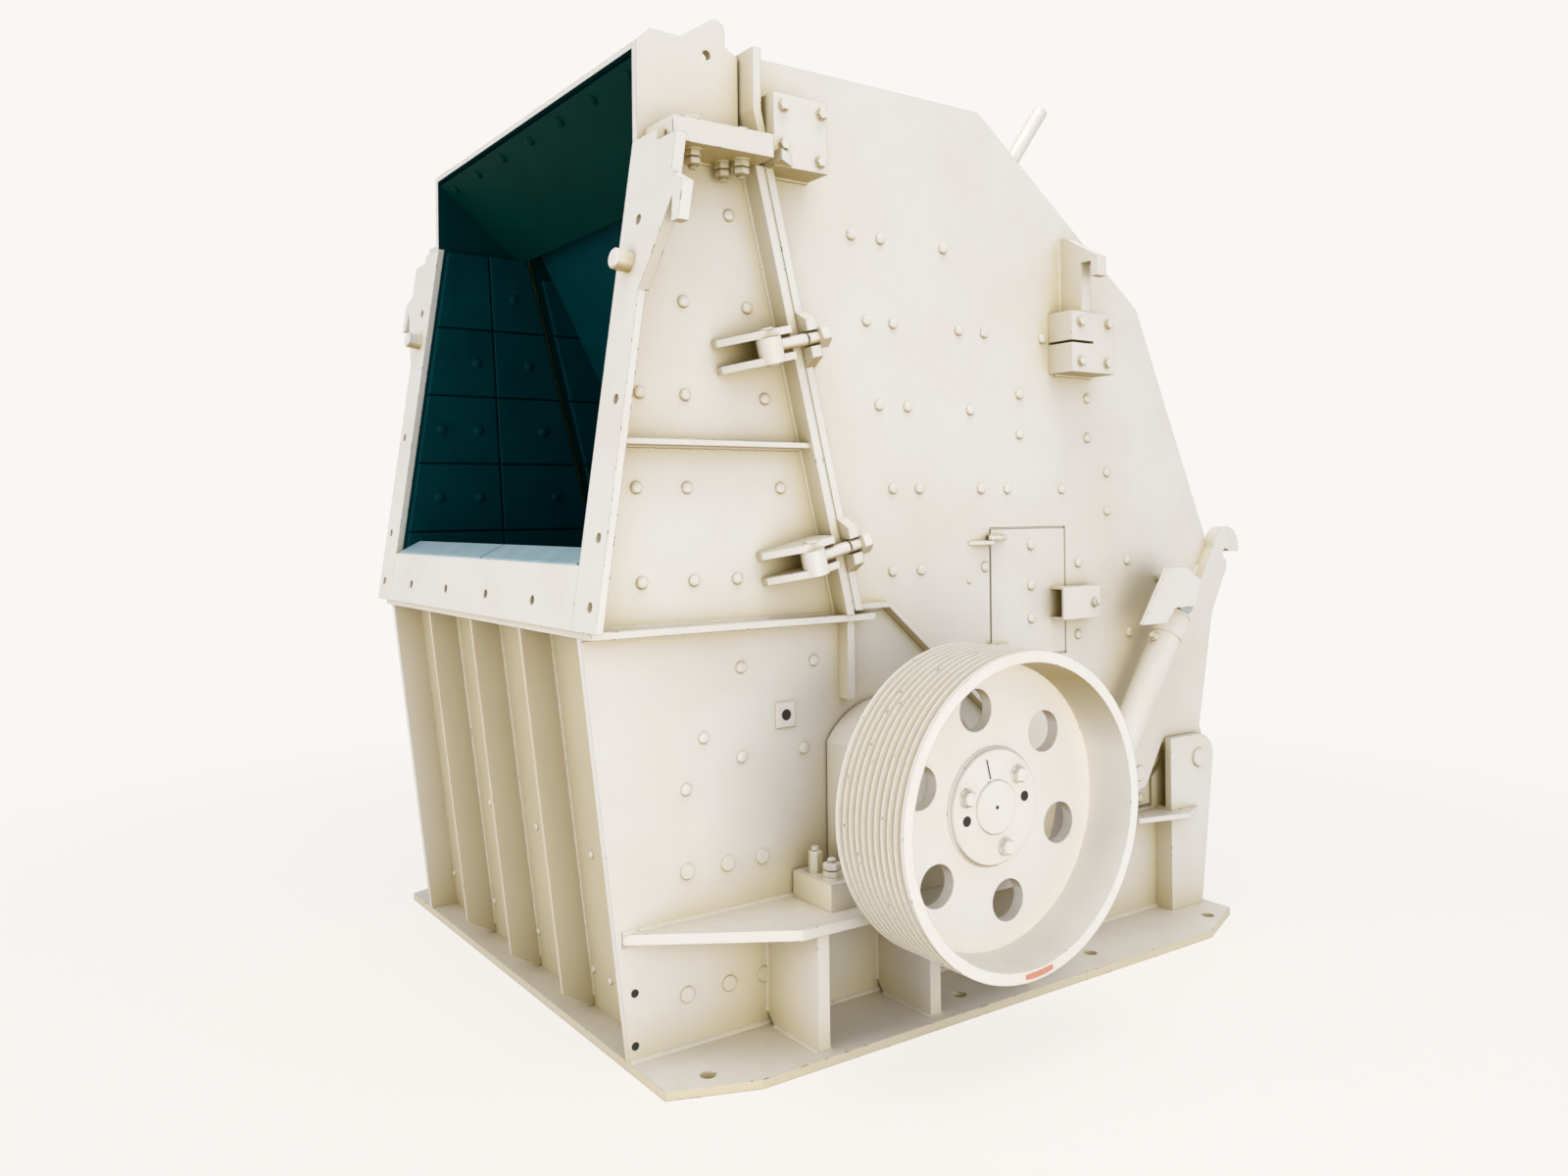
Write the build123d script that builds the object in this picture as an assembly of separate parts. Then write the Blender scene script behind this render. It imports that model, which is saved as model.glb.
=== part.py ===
"""Horizontal shaft impact crusher: fixed lower and inlet housings, a hinged rear housing and a rotor.

Frame: +X runs from the feed mouth to the hinged rear, Y along the rotor shaft with the drive pulley
on the -Y (near) side, +Z up. The origin is the middle of the base flange, on its underside.
All lengths are in millimetres.
"""
import os
from math import asin, atan2, cos, degrees, hypot, radians, sin, sqrt

from build123d import *

# Base flange that the machine is bolted down by
BASE_LENGTH = 2350.0
BASE_WIDTH = 2160.0
BASE_THICK = 25.0
BASE_FRONT_STRIP = 130.0
FRONT_CUT_X = 235.0
FRONT_CUT_Y = 90.0
REAR_CUT_X = 260.0
REAR_CUT_Y = 110.0
FOOT_HOLE_D = 42.0
FOOT_HOLE_X = 1040.0
FOOT_HOLE_Y = 975.0
FOOT_MID_FRONT_X = -160.0
FOOT_MID_REAR_X = 420.0

# Housing plates
HOUSING_WIDTH = 1600.0
SIDE_PLATE = 25.0
WALL_PLATE = 20.0
WALL_SETBACK = 10.0
OVERRUN = 5.0

# Lower housing: level deck at the front, a slope behind it and a low rear
DECK_Z = 1155.0
FRONT_TOP_X = -1303.0
FRONT_RECESS = 95.0
FRONT_RIB_PITCH = 390.0
FRONT_RIB_THICK = 16.0
FRONT_RIB_FOOT = 55.0
DECK_FLANGE_THICK = 20.0
DECK_FLANGE_OUT = 62.0
DECK_END_X = -375.0
SLOPE_TOP_X = -303.0
SLOPE_FOOT_X = 600.0
LOWER_REAR_Z = 393.0
REAR_WALL_SETBACK = 208.0
PARTING_GAP = 12.0
BRIDGE_RIB_X = -455.0
BRIDGE_RIB_Z = 925.0
BRIDGE_RIB_OUT = 45.0

# Hinge between the lower and the rear housing
HINGE_X = 1135.0
HINGE_Z = 560.0
HINGE_PIN_D = 70.0
HINGE_EYE_R = 86.0
HINGE_LUG_X = 960.0
HINGE_LUG_Z = 500.0
POST_FRONT_X = 978.0
POST_REAR_X = 1150.0
POST_CHEEK = 25.0
POST_GUSSET_X = 800.0
POST_GUSSET_PEAK_X = 1010.0
POST_GUSSET_END_X = 1130.0
POST_GUSSET_OUT = 70.0
POST_GUSSET_PEAK_OUT = 125.0
POST_GUSSET_Z = 375.0
POST_GUSSET_THICK = 20.0
HINGE_ARM = 40.0
HINGE_SIDE_PLAY = 3.0
PIN_PLAY = 0.3

# Inlet housing, its mouth frame and the hood bolted on top
MOUTH_FOOT_X = -1319.0
MOUTH_HEAD_X = -1124.0
MOUTH_HEAD_Z = 2475.0
MOUTH_FRAME_OUT = 117.0
MOUTH_FRAME_THICK = 22.0
MOUTH_SILL = 170.0
MOUTH_HOOK_THICK = 32.0
MOUTH_HOOK_OUT = 168.0
MOUTH_HOOK_TIP = 34.0
MOUTH_HOOK_NOTCH = 12.0
MOUTH_HOOK_FOOT_DROP = 425.0
MOUTH_HOOK_TIP_DROP = 275.0
MOUTH_HOOK_NOTCH_DROP = 207.0
MOUTH_HOOK_TOP_DROP = 175.0
MOUTH_HOOK_NECK = 100.0
MOUTH_HOOK_NECK_DROP = 140.0
MOUTH_SLOT_D = 26.0
MOUTH_SLOT_OUT = 68.0
MOUTH_SLOT_LIFT = 66.0
MOUTH_SLOT_LOW_DROP = 1058.0
MOUTH_SLOT_MID_DROP = 702.0
MOUTH_SLOT_HIGH_DROP = 231.0
SILL_HOLE_PITCH = 353.0
SILL_HOLE_SHIFT = 28.0
HOOD_HEIGHT = 267.0
HOOD_SIDE_RISE = 38.0
HOOD_NOSE = 42.0
HOOD_BACK_RISE = 13.0
HOOD_LUG_FOOT = 137.0
HOOD_LUG_SETBACK = 250.0
HOOD_LUG_RISE = 70.0
HOOD_LUG_R = 28.0
HOOD_LUG_HOLE_SETBACK = 219.0
HOOD_LUG_HOLE_DROP = 35.0
HOOD_LUG_HOLE_D = 26.0
HOOD_FLANGE_THICK = 32.0
HOOD_FLANGE_OUT = 150.0
HOOD_FLANGE_GAP = 2.0
HOOD_ROOF = 16.0
HOOD_LINING = 16.0
HOOD_LINING_FRONT_X = -1116.0
HOOD_LINING_FRONT_Z = 2708.0
HOOD_LINING_BACK_X = -801.0
HOOD_LINING_BACK_Z = 2452.0
SIDE_RIB_Z = 1668.0
SIDE_RIB_THICK = 16.0
SIDE_RIB_OUT = 55.0

# Joint face between the inlet housing and the rear housing
SPLIT_FOOT_X = -455.0
SPLIT_HEAD_X = -800.0
SPLIT_HEAD_Z = 2600.0
SPLIT_GAP = 6.5
SPLIT_FLANGE_THICK = 27.0
SPLIT_FLANGE_OUT = 68.0
SPLIT_EAR_OUT = 150.0
SPLIT_EAR_LENGTH = 66.0

# Rear housing outline, from the roof down the hinged back
ROOF_Z = 2770.0
ROOF_END_X = 124.0
SHOULDER_X = 900.0
SHOULDER_Z = 2195.0
BACK_X = 1295.0
BACK_Z = 1345.0
TAIL_X = 1185.0
TAIL_Z = 672.0
HEEL_X = 945.0
HEEL_Z = 514.0
SHIN_X = 1028.0
SHIN_Z = 576.0
KNEE_X = 1056.0
SILL_FLANGE_THICK = 16.0
SILL_FLANGE_OUT = 40.0

# Rotor, its shaft and bearings
SHAFT_X = -315.0
SHAFT_Z = 672.0
ROTOR_TIP_R = 600.0
ROTOR_R = 525.0
ROTOR_SIDE_PLAY = 35.0
ROTOR_BORE_PLAY = 0.3
SHAFT_CORE_D = 260.0
SHAFT_SEAT_D = 200.0
SHAFT_DRIVE_D = 150.0
SHAFT_DRIVE_END_Y = -1292.0
SHAFT_FREE_END_Y = 985.0
SHAFT_HOLE_D = 320.0
BLOW_BARS = 4
BLOW_BAR_THICK = 95.0
BLOW_BAR_DEPTH = 250.0
BLOW_BAR_PLAY = 0.5
BLOW_BAR_NECK_SHARE = 0.55
BLOW_BAR_HEEL = 130.0
BEARING_FOOT_LENGTH = 664.0
BEARING_FOOT_THICK = 76.0
BEARING_WIDTH = 185.0
BEARING_STANDOFF = 6.0
BEARING_R = 243.0
BEARING_SIDE = 205.0
BEARING_CAP_R = 190.0
BEARING_CAP_OUT = 35.0

# Bearing shelf on each side of the lower housing
SHELF_TOP_Z = 370.0
SHELF_THICK = 30.0
SHELF_OUT = 255.0
SHELF_FRONT_X = -1195.0
SHELF_FULL_X = -790.0
SHELF_REAR_X = 570.0
SHELF_FULL_REAR_X = 160.0
GUSSET_THICK = 40.0
GUSSET_PITCH = 400.0
GUSSET_SETBACK = 12.0
GUSSET_WELD_CUT = 32.0

# Drive pulley
PULLEY_R = 435.0
PULLEY_WIDTH = 272.0
PULLEY_FACE_Y = -1420.0
PULLEY_GROOVES = 10
GROOVE_PITCH = 25.5
GROOVE_DEPTH = 22.0
GROOVE_TOP = 19.0
GROOVE_BOTTOM = 10.0
PULLEY_RIM = 32.0
PULLEY_RIM_TAPER = 10.0
PULLEY_WEB = 36.0
PULLEY_WEB_FACE = 140.0
PULLEY_HUB_R = 160.0
PULLEY_HUB_LENGTH = 150.0
PULLEY_BUSH_R = 105.0
PULLEY_HOLES = 6
PULLEY_HOLE_R = 58.0
PULLEY_HOLE_RING_R = 272.0
PULLEY_HOLE_PHASE = 42.0

# Feed plate, liners and aprons inside
FEED_PLATE = 40.0
FEED_LIP_X = -860.0
FEED_LIP_Z = 1115.0
LINER = 20.0
LINER_EDGE = 30.0
REAR_LINER_FOOT_Z = 1260.0
REAR_LINER_TOP_Z = 2400.0
REAR_LINER_BACK_X = 450.0
APRON_SIDE_PLAY = 20.0
APRON_THICK = 90.0
APRON_TUBE_R = 70.0
APRON_SHAFT_D = 90.0
FRONT_APRON_X = -661.0
FRONT_APRON_Z = 2542.0
FRONT_APRON_KNEE_X = -330.0
FRONT_APRON_KNEE_Z = 1900.0
FRONT_APRON_TIP_X = 0.0
FRONT_APRON_TIP_Z = 1370.0
REAR_APRON_X = 548.0
REAR_APRON_Z = 2040.0
REAR_APRON_KNEE_X = 640.0
REAR_APRON_KNEE_Z = 1450.0
REAR_APRON_TIP_X = 430.0
REAR_APRON_TIP_Z = 950.0
PIVOT_BLOCK_OUT = 105.0
FRONT_BLOCK_LENGTH = 185.0
FRONT_BLOCK_HEIGHT = 205.0
REAR_BLOCK_LENGTH = 212.0
REAR_BLOCK_HEIGHT = 205.0
APRON_SHAFT_PLAY = 0.3
PIVOT_SLIT = 8.0

# Adjusting rods through the sloped roof
ROD_D = 52.0
ROD_OUT = 430.0
ROD_PLATE = 25.0
ROD_PLATE_SIZE = 200.0
ROD_Y = 600.0
ROD_RUN_SHARE = 0.327

# Swing bolt clamps that pull the two housings together
CLAMP_UPPER_Z = 1965.0
CLAMP_LOWER_Z = 1375.0
CLAMP_LUG_LENGTH = 200.0
CLAMP_LUG_THICK = 22.0
CLAMP_LUG_OUT = 110.0
CLAMP_LUG_SPACING = 74.0
CLAMP_BOLT_D = 36.0
CLAMP_NUT = 58.0
CLAMP_LUG_TOE = 25.0
CLAMP_ELBOW_SHARE = 0.54
CLAMP_EYE_SHARE = 0.38
CLAMP_LUG_SETBACK = 20.0
CLAMP_EYE_R = 36.0
CLAMP_FORK_THICK = 36.0
CLAMP_FORK_ROOT = 120.0
CLAMP_FORK_TIP = 55.0
CLAMP_SLOT_PLAY = 4.0
CLAMP_NUT_THICK = 32.0

# Inspection door on the near side of the rear housing
DOOR_LEFT_X = 156.0
DOOR_RIGHT_X = 515.0
DOOR_TOP_Z = 1420.0
DOOR_FOOT_Z = 985.0
DOOR_GAP = 6.0
DOOR_HINGE_OUT = 16.0
DOOR_HINGE_BACK = 8.0
DOOR_EYE_R = 12.0
DOOR_PIN_R = 6.0
DOOR_EAR_THICK = 14.0
DOOR_EAR_GAP = 2.0
DOOR_EAR_LENGTH = 88.0
DOOR_EAR_CREST_SHARE = 0.45
DOOR_HINGE_INSET = 40.0
LATCH_LENGTH = 186.0
LATCH_HEIGHT = 110.0
LATCH_OUT = 60.0
LATCH_THICK = 8.0
LATCH_Z = 1160.0
LATCH_OVERLAP = 77.0
LATCH_PLAY = 6.0

# Hydraulic opening cylinders
CYL_FOOT_X = 506.0
CYL_FOOT_Z = 425.0
CYL_HEAD_X = 994.0
CYL_HEAD_Z = 1140.0
CYL_Y = 905.0
CYL_BARREL_R = 52.0
CYL_ROD_R = 25.0
CYL_EYE_R = 42.0
CYL_EYE_WIDTH = 58.0
CYL_EYE_NECK_SHARE = 0.8
CYL_PIN_D = 36.0
CYL_ROD_SHOWN = 60.0
CYL_ROD_PLAY = 0.3
CYL_BRACKET_PLATE = 16.0
CYL_BRACKET_PLAY = 8.0
CYL_BRACKET_TOP = 132.0
CYL_BRACKET_LEFT = 164.0
CYL_BRACKET_RIGHT = 24.0
CYL_BRACKET_CHAMFER = 54.0
CYL_BRACKET_SKIRT = 300.0
CYL_BRACKET_DROP = 60.0
CYL_NOTCH_LEFT = 172.0
CYL_NOTCH_DROP = 10.0
CYL_NOTCH_STEP = 124.0

# Lifting hooks at the rear corners
ARM_HEAD_X = 1366.0
ARM_LEFT_X = 1237.0
ARM_LEG_X = 841.0
ARM_LEG_Z = 534.0
ARM_LEG_R = 60.0
ARM_CROTCH_X = 972.0
ARM_CROTCH_Z = 636.0
ARM_HEAD_Z = 1263.0
ARM_WAIST_X = 1268.0
ARM_WAIST_Z = 1085.0
HOOK_R = 76.0
HOOK_X = 1358.0
HOOK_Z = 1330.0
HOOK_NOTCH_R = 20.0
HOOK_NOTCH_DROP = 28.0

# Lifting hooks on the sides of the rear housing, over the rear pivot blocks
SIDE_HOOK_X = 500.0
SIDE_HOOK_THICK = 45.0
SIDE_HOOK_OUT = 165.0
SIDE_HOOK_LEG = 98.0
SIDE_HOOK_TIP = 26.0
SIDE_HOOK_TOP_Z = 2398.0
SIDE_HOOK_ARM_Z = 2320.0
SIDE_HOOK_TIP_Z = 2255.0
SIDE_HOOK_NOTCH_Z = 2306.0
SIDE_HOOK_CREST = 32.0

# Worked out from the driving sizes
HALF_WIDTH = HOUSING_WIDTH / 2
INNER_HALF = HALF_WIDTH - SIDE_PLATE
ROTOR_HALF = INNER_HALF - ROTOR_SIDE_PLAY
APRON_HALF = INNER_HALF - LINER - APRON_SIDE_PLAY
FRONT_FOOT_X = -BASE_LENGTH / 2
REAR_WALL_X = BASE_LENGTH / 2 - REAR_WALL_SETBACK
DECK_TOP = DECK_Z + DECK_FLANGE_THICK
REAR_SILL_Z = DECK_TOP + PARTING_GAP
REAR_FOOT_Z = LOWER_REAR_Z + PARTING_GAP
MOUTH_FOOT_Z = DECK_TOP
HOOD_TOP_Z = MOUTH_HEAD_Z + HOOD_HEIGHT
HOOD_SIDE_TOP_Z = HOOD_TOP_Z + HOOD_SIDE_RISE
FRONT_LEAN = (FRONT_TOP_X - FRONT_FOOT_X) / (DECK_Z - BASE_THICK)
MOUTH_LEAN = (MOUTH_HEAD_X - MOUTH_FOOT_X) / (MOUTH_HEAD_Z - MOUTH_FOOT_Z)
SPLIT_LEAN = (SPLIT_HEAD_X - SPLIT_FOOT_X) / (SPLIT_HEAD_Z - DECK_TOP)
FRONT_PIVOT = (FRONT_APRON_X, FRONT_APRON_Z)
REAR_PIVOT = (REAR_APRON_X, REAR_APRON_Z)
NEAR = -1
FAR = 1


def front_x(z):
    """X of the leaning front edge of the lower housing at a height."""
    return FRONT_FOOT_X + (z - BASE_THICK) * FRONT_LEAN


def mouth_x(z):
    """X of the outer face of the mouth frame at a height."""
    return MOUTH_FOOT_X + (z - MOUTH_FOOT_Z) * MOUTH_LEAN


def split_x(z):
    """X of the joint face between inlet and rear housing at a height."""
    return SPLIT_FOOT_X + (min(z, SPLIT_HEAD_Z) - DECK_TOP) * SPLIT_LEAN


def prism(points, y_from, y_to):
    """Solid with an outline in X and Z that runs across the machine from one Y to another."""
    outline = Polyline(*[(x, y_from, z) for x, z in points], close=True)
    return extrude(make_face(outline), amount=y_to - y_from, dir=(0, 1, 0))


def across(points, x_from, x_to):
    """Solid with an outline in Y and Z that runs along the machine from one X to another."""
    outline = Polyline(*[(x_from, y, z) for y, z in points], close=True)
    return extrude(make_face(outline), amount=x_to - x_from, dir=(1, 0, 0))


def block(x_from, x_to, y_from, y_to, z_from, z_to):
    """Box between two corners."""
    size = Box(x_to - x_from, y_to - y_from, z_to - z_from)
    return Pos((x_from + x_to) / 2, (y_from + y_to) / 2, (z_from + z_to) / 2) * size


def level_plate(points, z, thick):
    """Level plate with an outline in X and Y, upwards from a height."""
    return Pos(0, 0, z) * extrude(make_face(Polyline(*points, close=True)), amount=thick)


def rod_y(x, z, radius, y_from, y_to):
    """Round bar along Y."""
    return Pos(x, (y_from + y_to) / 2, z) * Rot(90, 0, 0) * Cylinder(radius, y_to - y_from)


def rod_between(start, end, y, radius):
    """Round bar between two points in X and Z at one Y."""
    run = hypot(end[0] - start[0], end[1] - start[1])
    tilt = degrees(atan2(end[0] - start[0], end[1] - start[1]))
    middle = Pos((start[0] + end[0]) / 2, y, (start[1] + end[1]) / 2)
    return middle * Rot(0, tilt, 0) * Cylinder(radius, run)


def on_side(shape, side):
    """A shape drawn for the near side, moved to the side asked for."""
    return shape if side == NEAR else mirror(shape, about=Plane.XZ)


def both_sides(shape):
    """Near and far copies of a shape as separate solids."""
    return Compound(children=[shape, mirror(shape, about=Plane.XZ)])


def base_side_strip():
    """Long strip of the base flange with its corner cuts and foundation bolt holes."""
    half_x = BASE_LENGTH / 2
    half_y = BASE_WIDTH / 2
    strip = level_plate([
        (-half_x, -INNER_HALF), (-half_x, -half_y + FRONT_CUT_Y), (-half_x + FRONT_CUT_X, -half_y),
        (half_x - REAR_CUT_X, -half_y), (half_x, -half_y + REAR_CUT_Y), (half_x, -INNER_HALF)], 0, BASE_THICK)
    for x in (-FOOT_HOLE_X, FOOT_MID_FRONT_X, FOOT_MID_REAR_X, FOOT_HOLE_X):
        strip -= Pos(x, -FOOT_HOLE_Y, BASE_THICK / 2) * Cylinder(FOOT_HOLE_D / 2, BASE_THICK + OVERRUN)
    return strip


def base_end_strips():
    """Cross strips of the base flange, under the front wall and under the rear wall."""
    half = BASE_LENGTH / 2
    front = block(-half, -half + BASE_FRONT_STRIP, -INNER_HALF, INNER_HALF, 0, BASE_THICK)
    rear = block(REAR_WALL_X - WALL_PLATE, half, -INNER_HALF, INNER_HALF, 0, BASE_THICK)
    return Compound(children=[front, rear])


def lower_side():
    """Side plate of the lower housing, with the hinge lug at its rear and the shaft hole."""
    points = [
        (front_x(BASE_THICK), BASE_THICK), (front_x(DECK_Z), DECK_Z), (DECK_END_X, DECK_Z),
        (DECK_END_X, DECK_TOP), (SLOPE_TOP_X, DECK_TOP),
        (SLOPE_FOOT_X, LOWER_REAR_Z), (HINGE_LUG_X, LOWER_REAR_Z),
        (HINGE_LUG_X, HINGE_LUG_Z), (HINGE_X - HINGE_EYE_R, HINGE_Z), (HINGE_X + HINGE_EYE_R, HINGE_Z),
        (POST_REAR_X, BASE_THICK)]
    plate = prism(points, -HALF_WIDTH, -INNER_HALF)
    plate += rod_y(HINGE_X, HINGE_Z, HINGE_EYE_R, -HALF_WIDTH, -INNER_HALF)
    plate -= rod_y(HINGE_X, HINGE_Z, HINGE_PIN_D / 2 + PIN_PLAY, -HALF_WIDTH - OVERRUN, -INNER_HALF + OVERRUN)
    plate -= rod_y(SHAFT_X, SHAFT_Z, SHAFT_HOLE_D / 2, -HALF_WIDTH - OVERRUN, -INNER_HALF + OVERRUN)
    return plate


def lower_front_wall():
    """Front wall panel, set back between the ribs."""
    points = [
        (front_x(BASE_THICK) + FRONT_RECESS, BASE_THICK), (front_x(DECK_Z) + FRONT_RECESS, DECK_Z),
        (front_x(DECK_Z) + FRONT_RECESS + WALL_PLATE, DECK_Z),
        (front_x(BASE_THICK) + FRONT_RECESS + WALL_PLATE, BASE_THICK)]
    return prism(points, -INNER_HALF, INNER_HALF)


def front_ribs():
    """Three upright ribs on the front wall, cut back at the foot."""
    foot = BASE_THICK + FRONT_RIB_FOOT
    points = [
        (front_x(foot), foot), (front_x(DECK_Z), DECK_Z),
        (front_x(DECK_Z) + FRONT_RECESS, DECK_Z), (front_x(BASE_THICK) + FRONT_RECESS, BASE_THICK)]
    half = FRONT_RIB_THICK / 2
    ribs = [prism(points, y - half, y + half) for y in (-FRONT_RIB_PITCH, 0, FRONT_RIB_PITCH)]
    return Compound(children=ribs)


def lower_rear_wall():
    """Low wall across the rear of the lower housing."""
    return block(REAR_WALL_X - WALL_PLATE, REAR_WALL_X, -INNER_HALF, INNER_HALF, BASE_THICK, LOWER_REAR_Z)


def deck_flange():
    """Level joint flange between the lower housing and the inlet housing."""
    return block(FRONT_TOP_X, DECK_END_X, -HALF_WIDTH - DECK_FLANGE_OUT, -INNER_HALF, DECK_Z, DECK_TOP)


def deck_front_flange():
    """Front run of the joint flange, over the ribs."""
    back = FRONT_TOP_X + FRONT_RECESS + WALL_PLATE
    return block(FRONT_TOP_X, back, -INNER_HALF, INNER_HALF, DECK_Z, DECK_TOP)


def bridge_rib():
    """Upright rib under the deck flange, in line with the joint face."""
    return block(BRIDGE_RIB_X - SPLIT_FLANGE_THICK / 2, BRIDGE_RIB_X + SPLIT_FLANGE_THICK / 2,
                 -HALF_WIDTH - BRIDGE_RIB_OUT, -HALF_WIDTH, BRIDGE_RIB_Z, DECK_Z)


def bearing_shelf():
    """Shelf plate that carries a bearing, tapering back to the side plate at both ends."""
    outer = -HALF_WIDTH - SHELF_OUT
    return level_plate([
        (SHELF_FRONT_X, -HALF_WIDTH), (SHELF_FULL_X, outer), (SHELF_FULL_REAR_X, outer),
        (SHELF_REAR_X, -HALF_WIDTH)], SHELF_TOP_Z - SHELF_THICK, SHELF_THICK)


def shelf_gussets():
    """Upright gussets between the base flange and the shelf, cut back at the inner corners."""
    outer = -HALF_WIDTH - SHELF_OUT + GUSSET_SETBACK
    half = GUSSET_THICK / 2
    top = SHELF_TOP_Z - SHELF_THICK
    inner = -HALF_WIDTH - GUSSET_WELD_CUT
    points = [
        (outer, BASE_THICK), (inner, BASE_THICK), (-HALF_WIDTH, BASE_THICK + GUSSET_WELD_CUT),
        (-HALF_WIDTH, top - GUSSET_WELD_CUT), (inner, top), (outer, top)]
    places = [SHAFT_X + step * GUSSET_PITCH for step in (-1, 0, 1)]
    return Compound(children=[across(points, x - half, x + half) for x in places])


def bearing_block(through):
    """Pillow block: a thick foot, a body with a round top and a raised cap ring, bored for the shaft."""
    y_in = -HALF_WIDTH - BEARING_STANDOFF
    y_out = y_in - BEARING_WIDTH
    half = BEARING_FOOT_LENGTH / 2
    foot_top = SHELF_TOP_Z + BEARING_FOOT_THICK
    body = block(SHAFT_X - half, SHAFT_X + half, y_out, y_in, SHELF_TOP_Z, foot_top)
    sides = (SHAFT_X - BEARING_SIDE, SHAFT_X + BEARING_SIDE, y_out, y_in)
    body += rod_y(SHAFT_X, SHAFT_Z, BEARING_R, y_out, y_in) & block(*sides, SHAFT_Z, SHAFT_Z + BEARING_R)
    body += block(*sides, SHELF_TOP_Z, SHAFT_Z)
    body += rod_y(SHAFT_X, SHAFT_Z, BEARING_CAP_R, y_out - BEARING_CAP_OUT, y_out)
    bore_end = y_out - BEARING_CAP_OUT - OVERRUN if through else y_out
    body -= rod_y(SHAFT_X, SHAFT_Z, SHAFT_SEAT_D / 2 + PIN_PLAY, bore_end, y_in + OVERRUN)
    return body


def hinge_post():
    """Outer cheek of the rear hinge, with a web back to the side plate and a level gusset."""
    y_in = -HALF_WIDTH - HINGE_ARM - 2 * HINGE_SIDE_PLAY
    y_out = y_in - POST_CHEEK
    top = HINGE_Z + HINGE_EYE_R
    points = [
        (POST_FRONT_X, BASE_THICK), (POST_FRONT_X, top), (HINGE_X, top),
        (HINGE_X + HINGE_EYE_R, HINGE_Z), (POST_REAR_X, BASE_THICK)]
    cheek = prism(points, y_out, y_in) + rod_y(HINGE_X, HINGE_Z, HINGE_EYE_R, y_out, y_in)
    cheek += block(POST_FRONT_X, POST_FRONT_X + POST_CHEEK, y_in, -HALF_WIDTH, BASE_THICK, LOWER_REAR_Z)
    cheek += level_plate([
        (POST_GUSSET_X, -HALF_WIDTH), (POST_GUSSET_X, -HALF_WIDTH - POST_GUSSET_OUT),
        (POST_GUSSET_PEAK_X, -HALF_WIDTH - POST_GUSSET_PEAK_OUT), (POST_GUSSET_END_X, y_out),
        (POST_FRONT_X + POST_CHEEK, y_out), (POST_FRONT_X + POST_CHEEK, -HALF_WIDTH)],
        POST_GUSSET_Z - POST_GUSSET_THICK / 2, POST_GUSSET_THICK)
    return cheek - rod_y(HINGE_X, HINGE_Z, HINGE_PIN_D / 2 + PIN_PLAY, y_out - OVERRUN, y_in + OVERRUN)


def hinge_pin():
    """Pin through both cheeks of a hinge."""
    y_out = -HALF_WIDTH - HINGE_ARM - 2 * HINGE_SIDE_PLAY - POST_CHEEK
    return rod_y(HINGE_X, HINGE_Z, HINGE_PIN_D / 2, y_out, -INNER_HALF)


def inlet_side():
    """Side plate of the inlet housing, from the deck flange to the hood."""
    top = MOUTH_HEAD_Z
    back = -SPLIT_GAP / 2
    points = [
        (mouth_x(MOUTH_FOOT_Z) + MOUTH_FRAME_THICK, MOUTH_FOOT_Z), (mouth_x(top) + MOUTH_FRAME_THICK, top),
        (split_x(top) + back, top), (split_x(DECK_TOP) + back, DECK_TOP)]
    return prism(points, -HALF_WIDTH, -INNER_HALF)


def mouth_slab(z_from, z_to, thick, y_from, y_to):
    """Slice of the leaning plane of the mouth frame."""
    foot = mouth_x(z_from)
    head = mouth_x(z_to)
    return prism([(foot, z_from), (head, z_to), (head + thick, z_to), (foot + thick, z_from)], y_from, y_to)


def mouth_hook():
    """Lifting hook that stands out of the mouth frame, with its tip hanging down and a wide neck above."""
    root = -HALF_WIDTH - MOUTH_FRAME_OUT
    outer = root - MOUTH_HOOK_OUT
    tip = outer + MOUTH_HOOK_TIP
    low = MOUTH_HEAD_Z - MOUTH_HOOK_FOOT_DROP
    high = MOUTH_HEAD_Z - HOOD_FLANGE_THICK
    tip_z = MOUTH_HEAD_Z - MOUTH_HOOK_TIP_DROP
    neck = root - MOUTH_HOOK_NECK
    points = [
        (root, low), (tip + MOUTH_HOOK_NOTCH, MOUTH_HEAD_Z - MOUTH_HOOK_NOTCH_DROP), (tip, tip_z),
        (outer, tip_z), (outer, MOUTH_HEAD_Z - MOUTH_HOOK_TOP_DROP),
        (neck, MOUTH_HEAD_Z - MOUTH_HOOK_NECK_DROP), (neck, high), (root, high)]
    plate = across(points, mouth_x(low), mouth_x(high) + MOUTH_HOOK_THICK)
    return plate & mouth_slab(low, high, MOUTH_HOOK_THICK, outer, root)


def mouth_hole(y, z):
    """Bolt hole through the mouth frame."""
    middle = Pos(mouth_x(z) + MOUTH_FRAME_THICK / 2, y, z)
    return middle * Rot(0, 90, 0) * Cylinder(MOUTH_SLOT_D / 2, MOUTH_FRAME_THICK * 2)


def mouth_side_bar():
    """Upright bar of the mouth frame with its lifting hook and bolt holes."""
    outer = -HALF_WIDTH - MOUTH_FRAME_OUT
    bar = mouth_slab(MOUTH_FOOT_Z, MOUTH_HEAD_Z, MOUTH_FRAME_THICK, outer, -INNER_HALF) + mouth_hook()
    for drop in (MOUTH_SLOT_LOW_DROP, MOUTH_SLOT_MID_DROP, MOUTH_SLOT_HIGH_DROP):
        bar -= mouth_hole(-HALF_WIDTH - MOUTH_SLOT_OUT, MOUTH_HEAD_Z - drop)
    return bar - mouth_hole(-HALF_WIDTH - MOUTH_SLOT_OUT, MOUTH_FOOT_Z + MOUTH_SLOT_LIFT)


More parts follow.
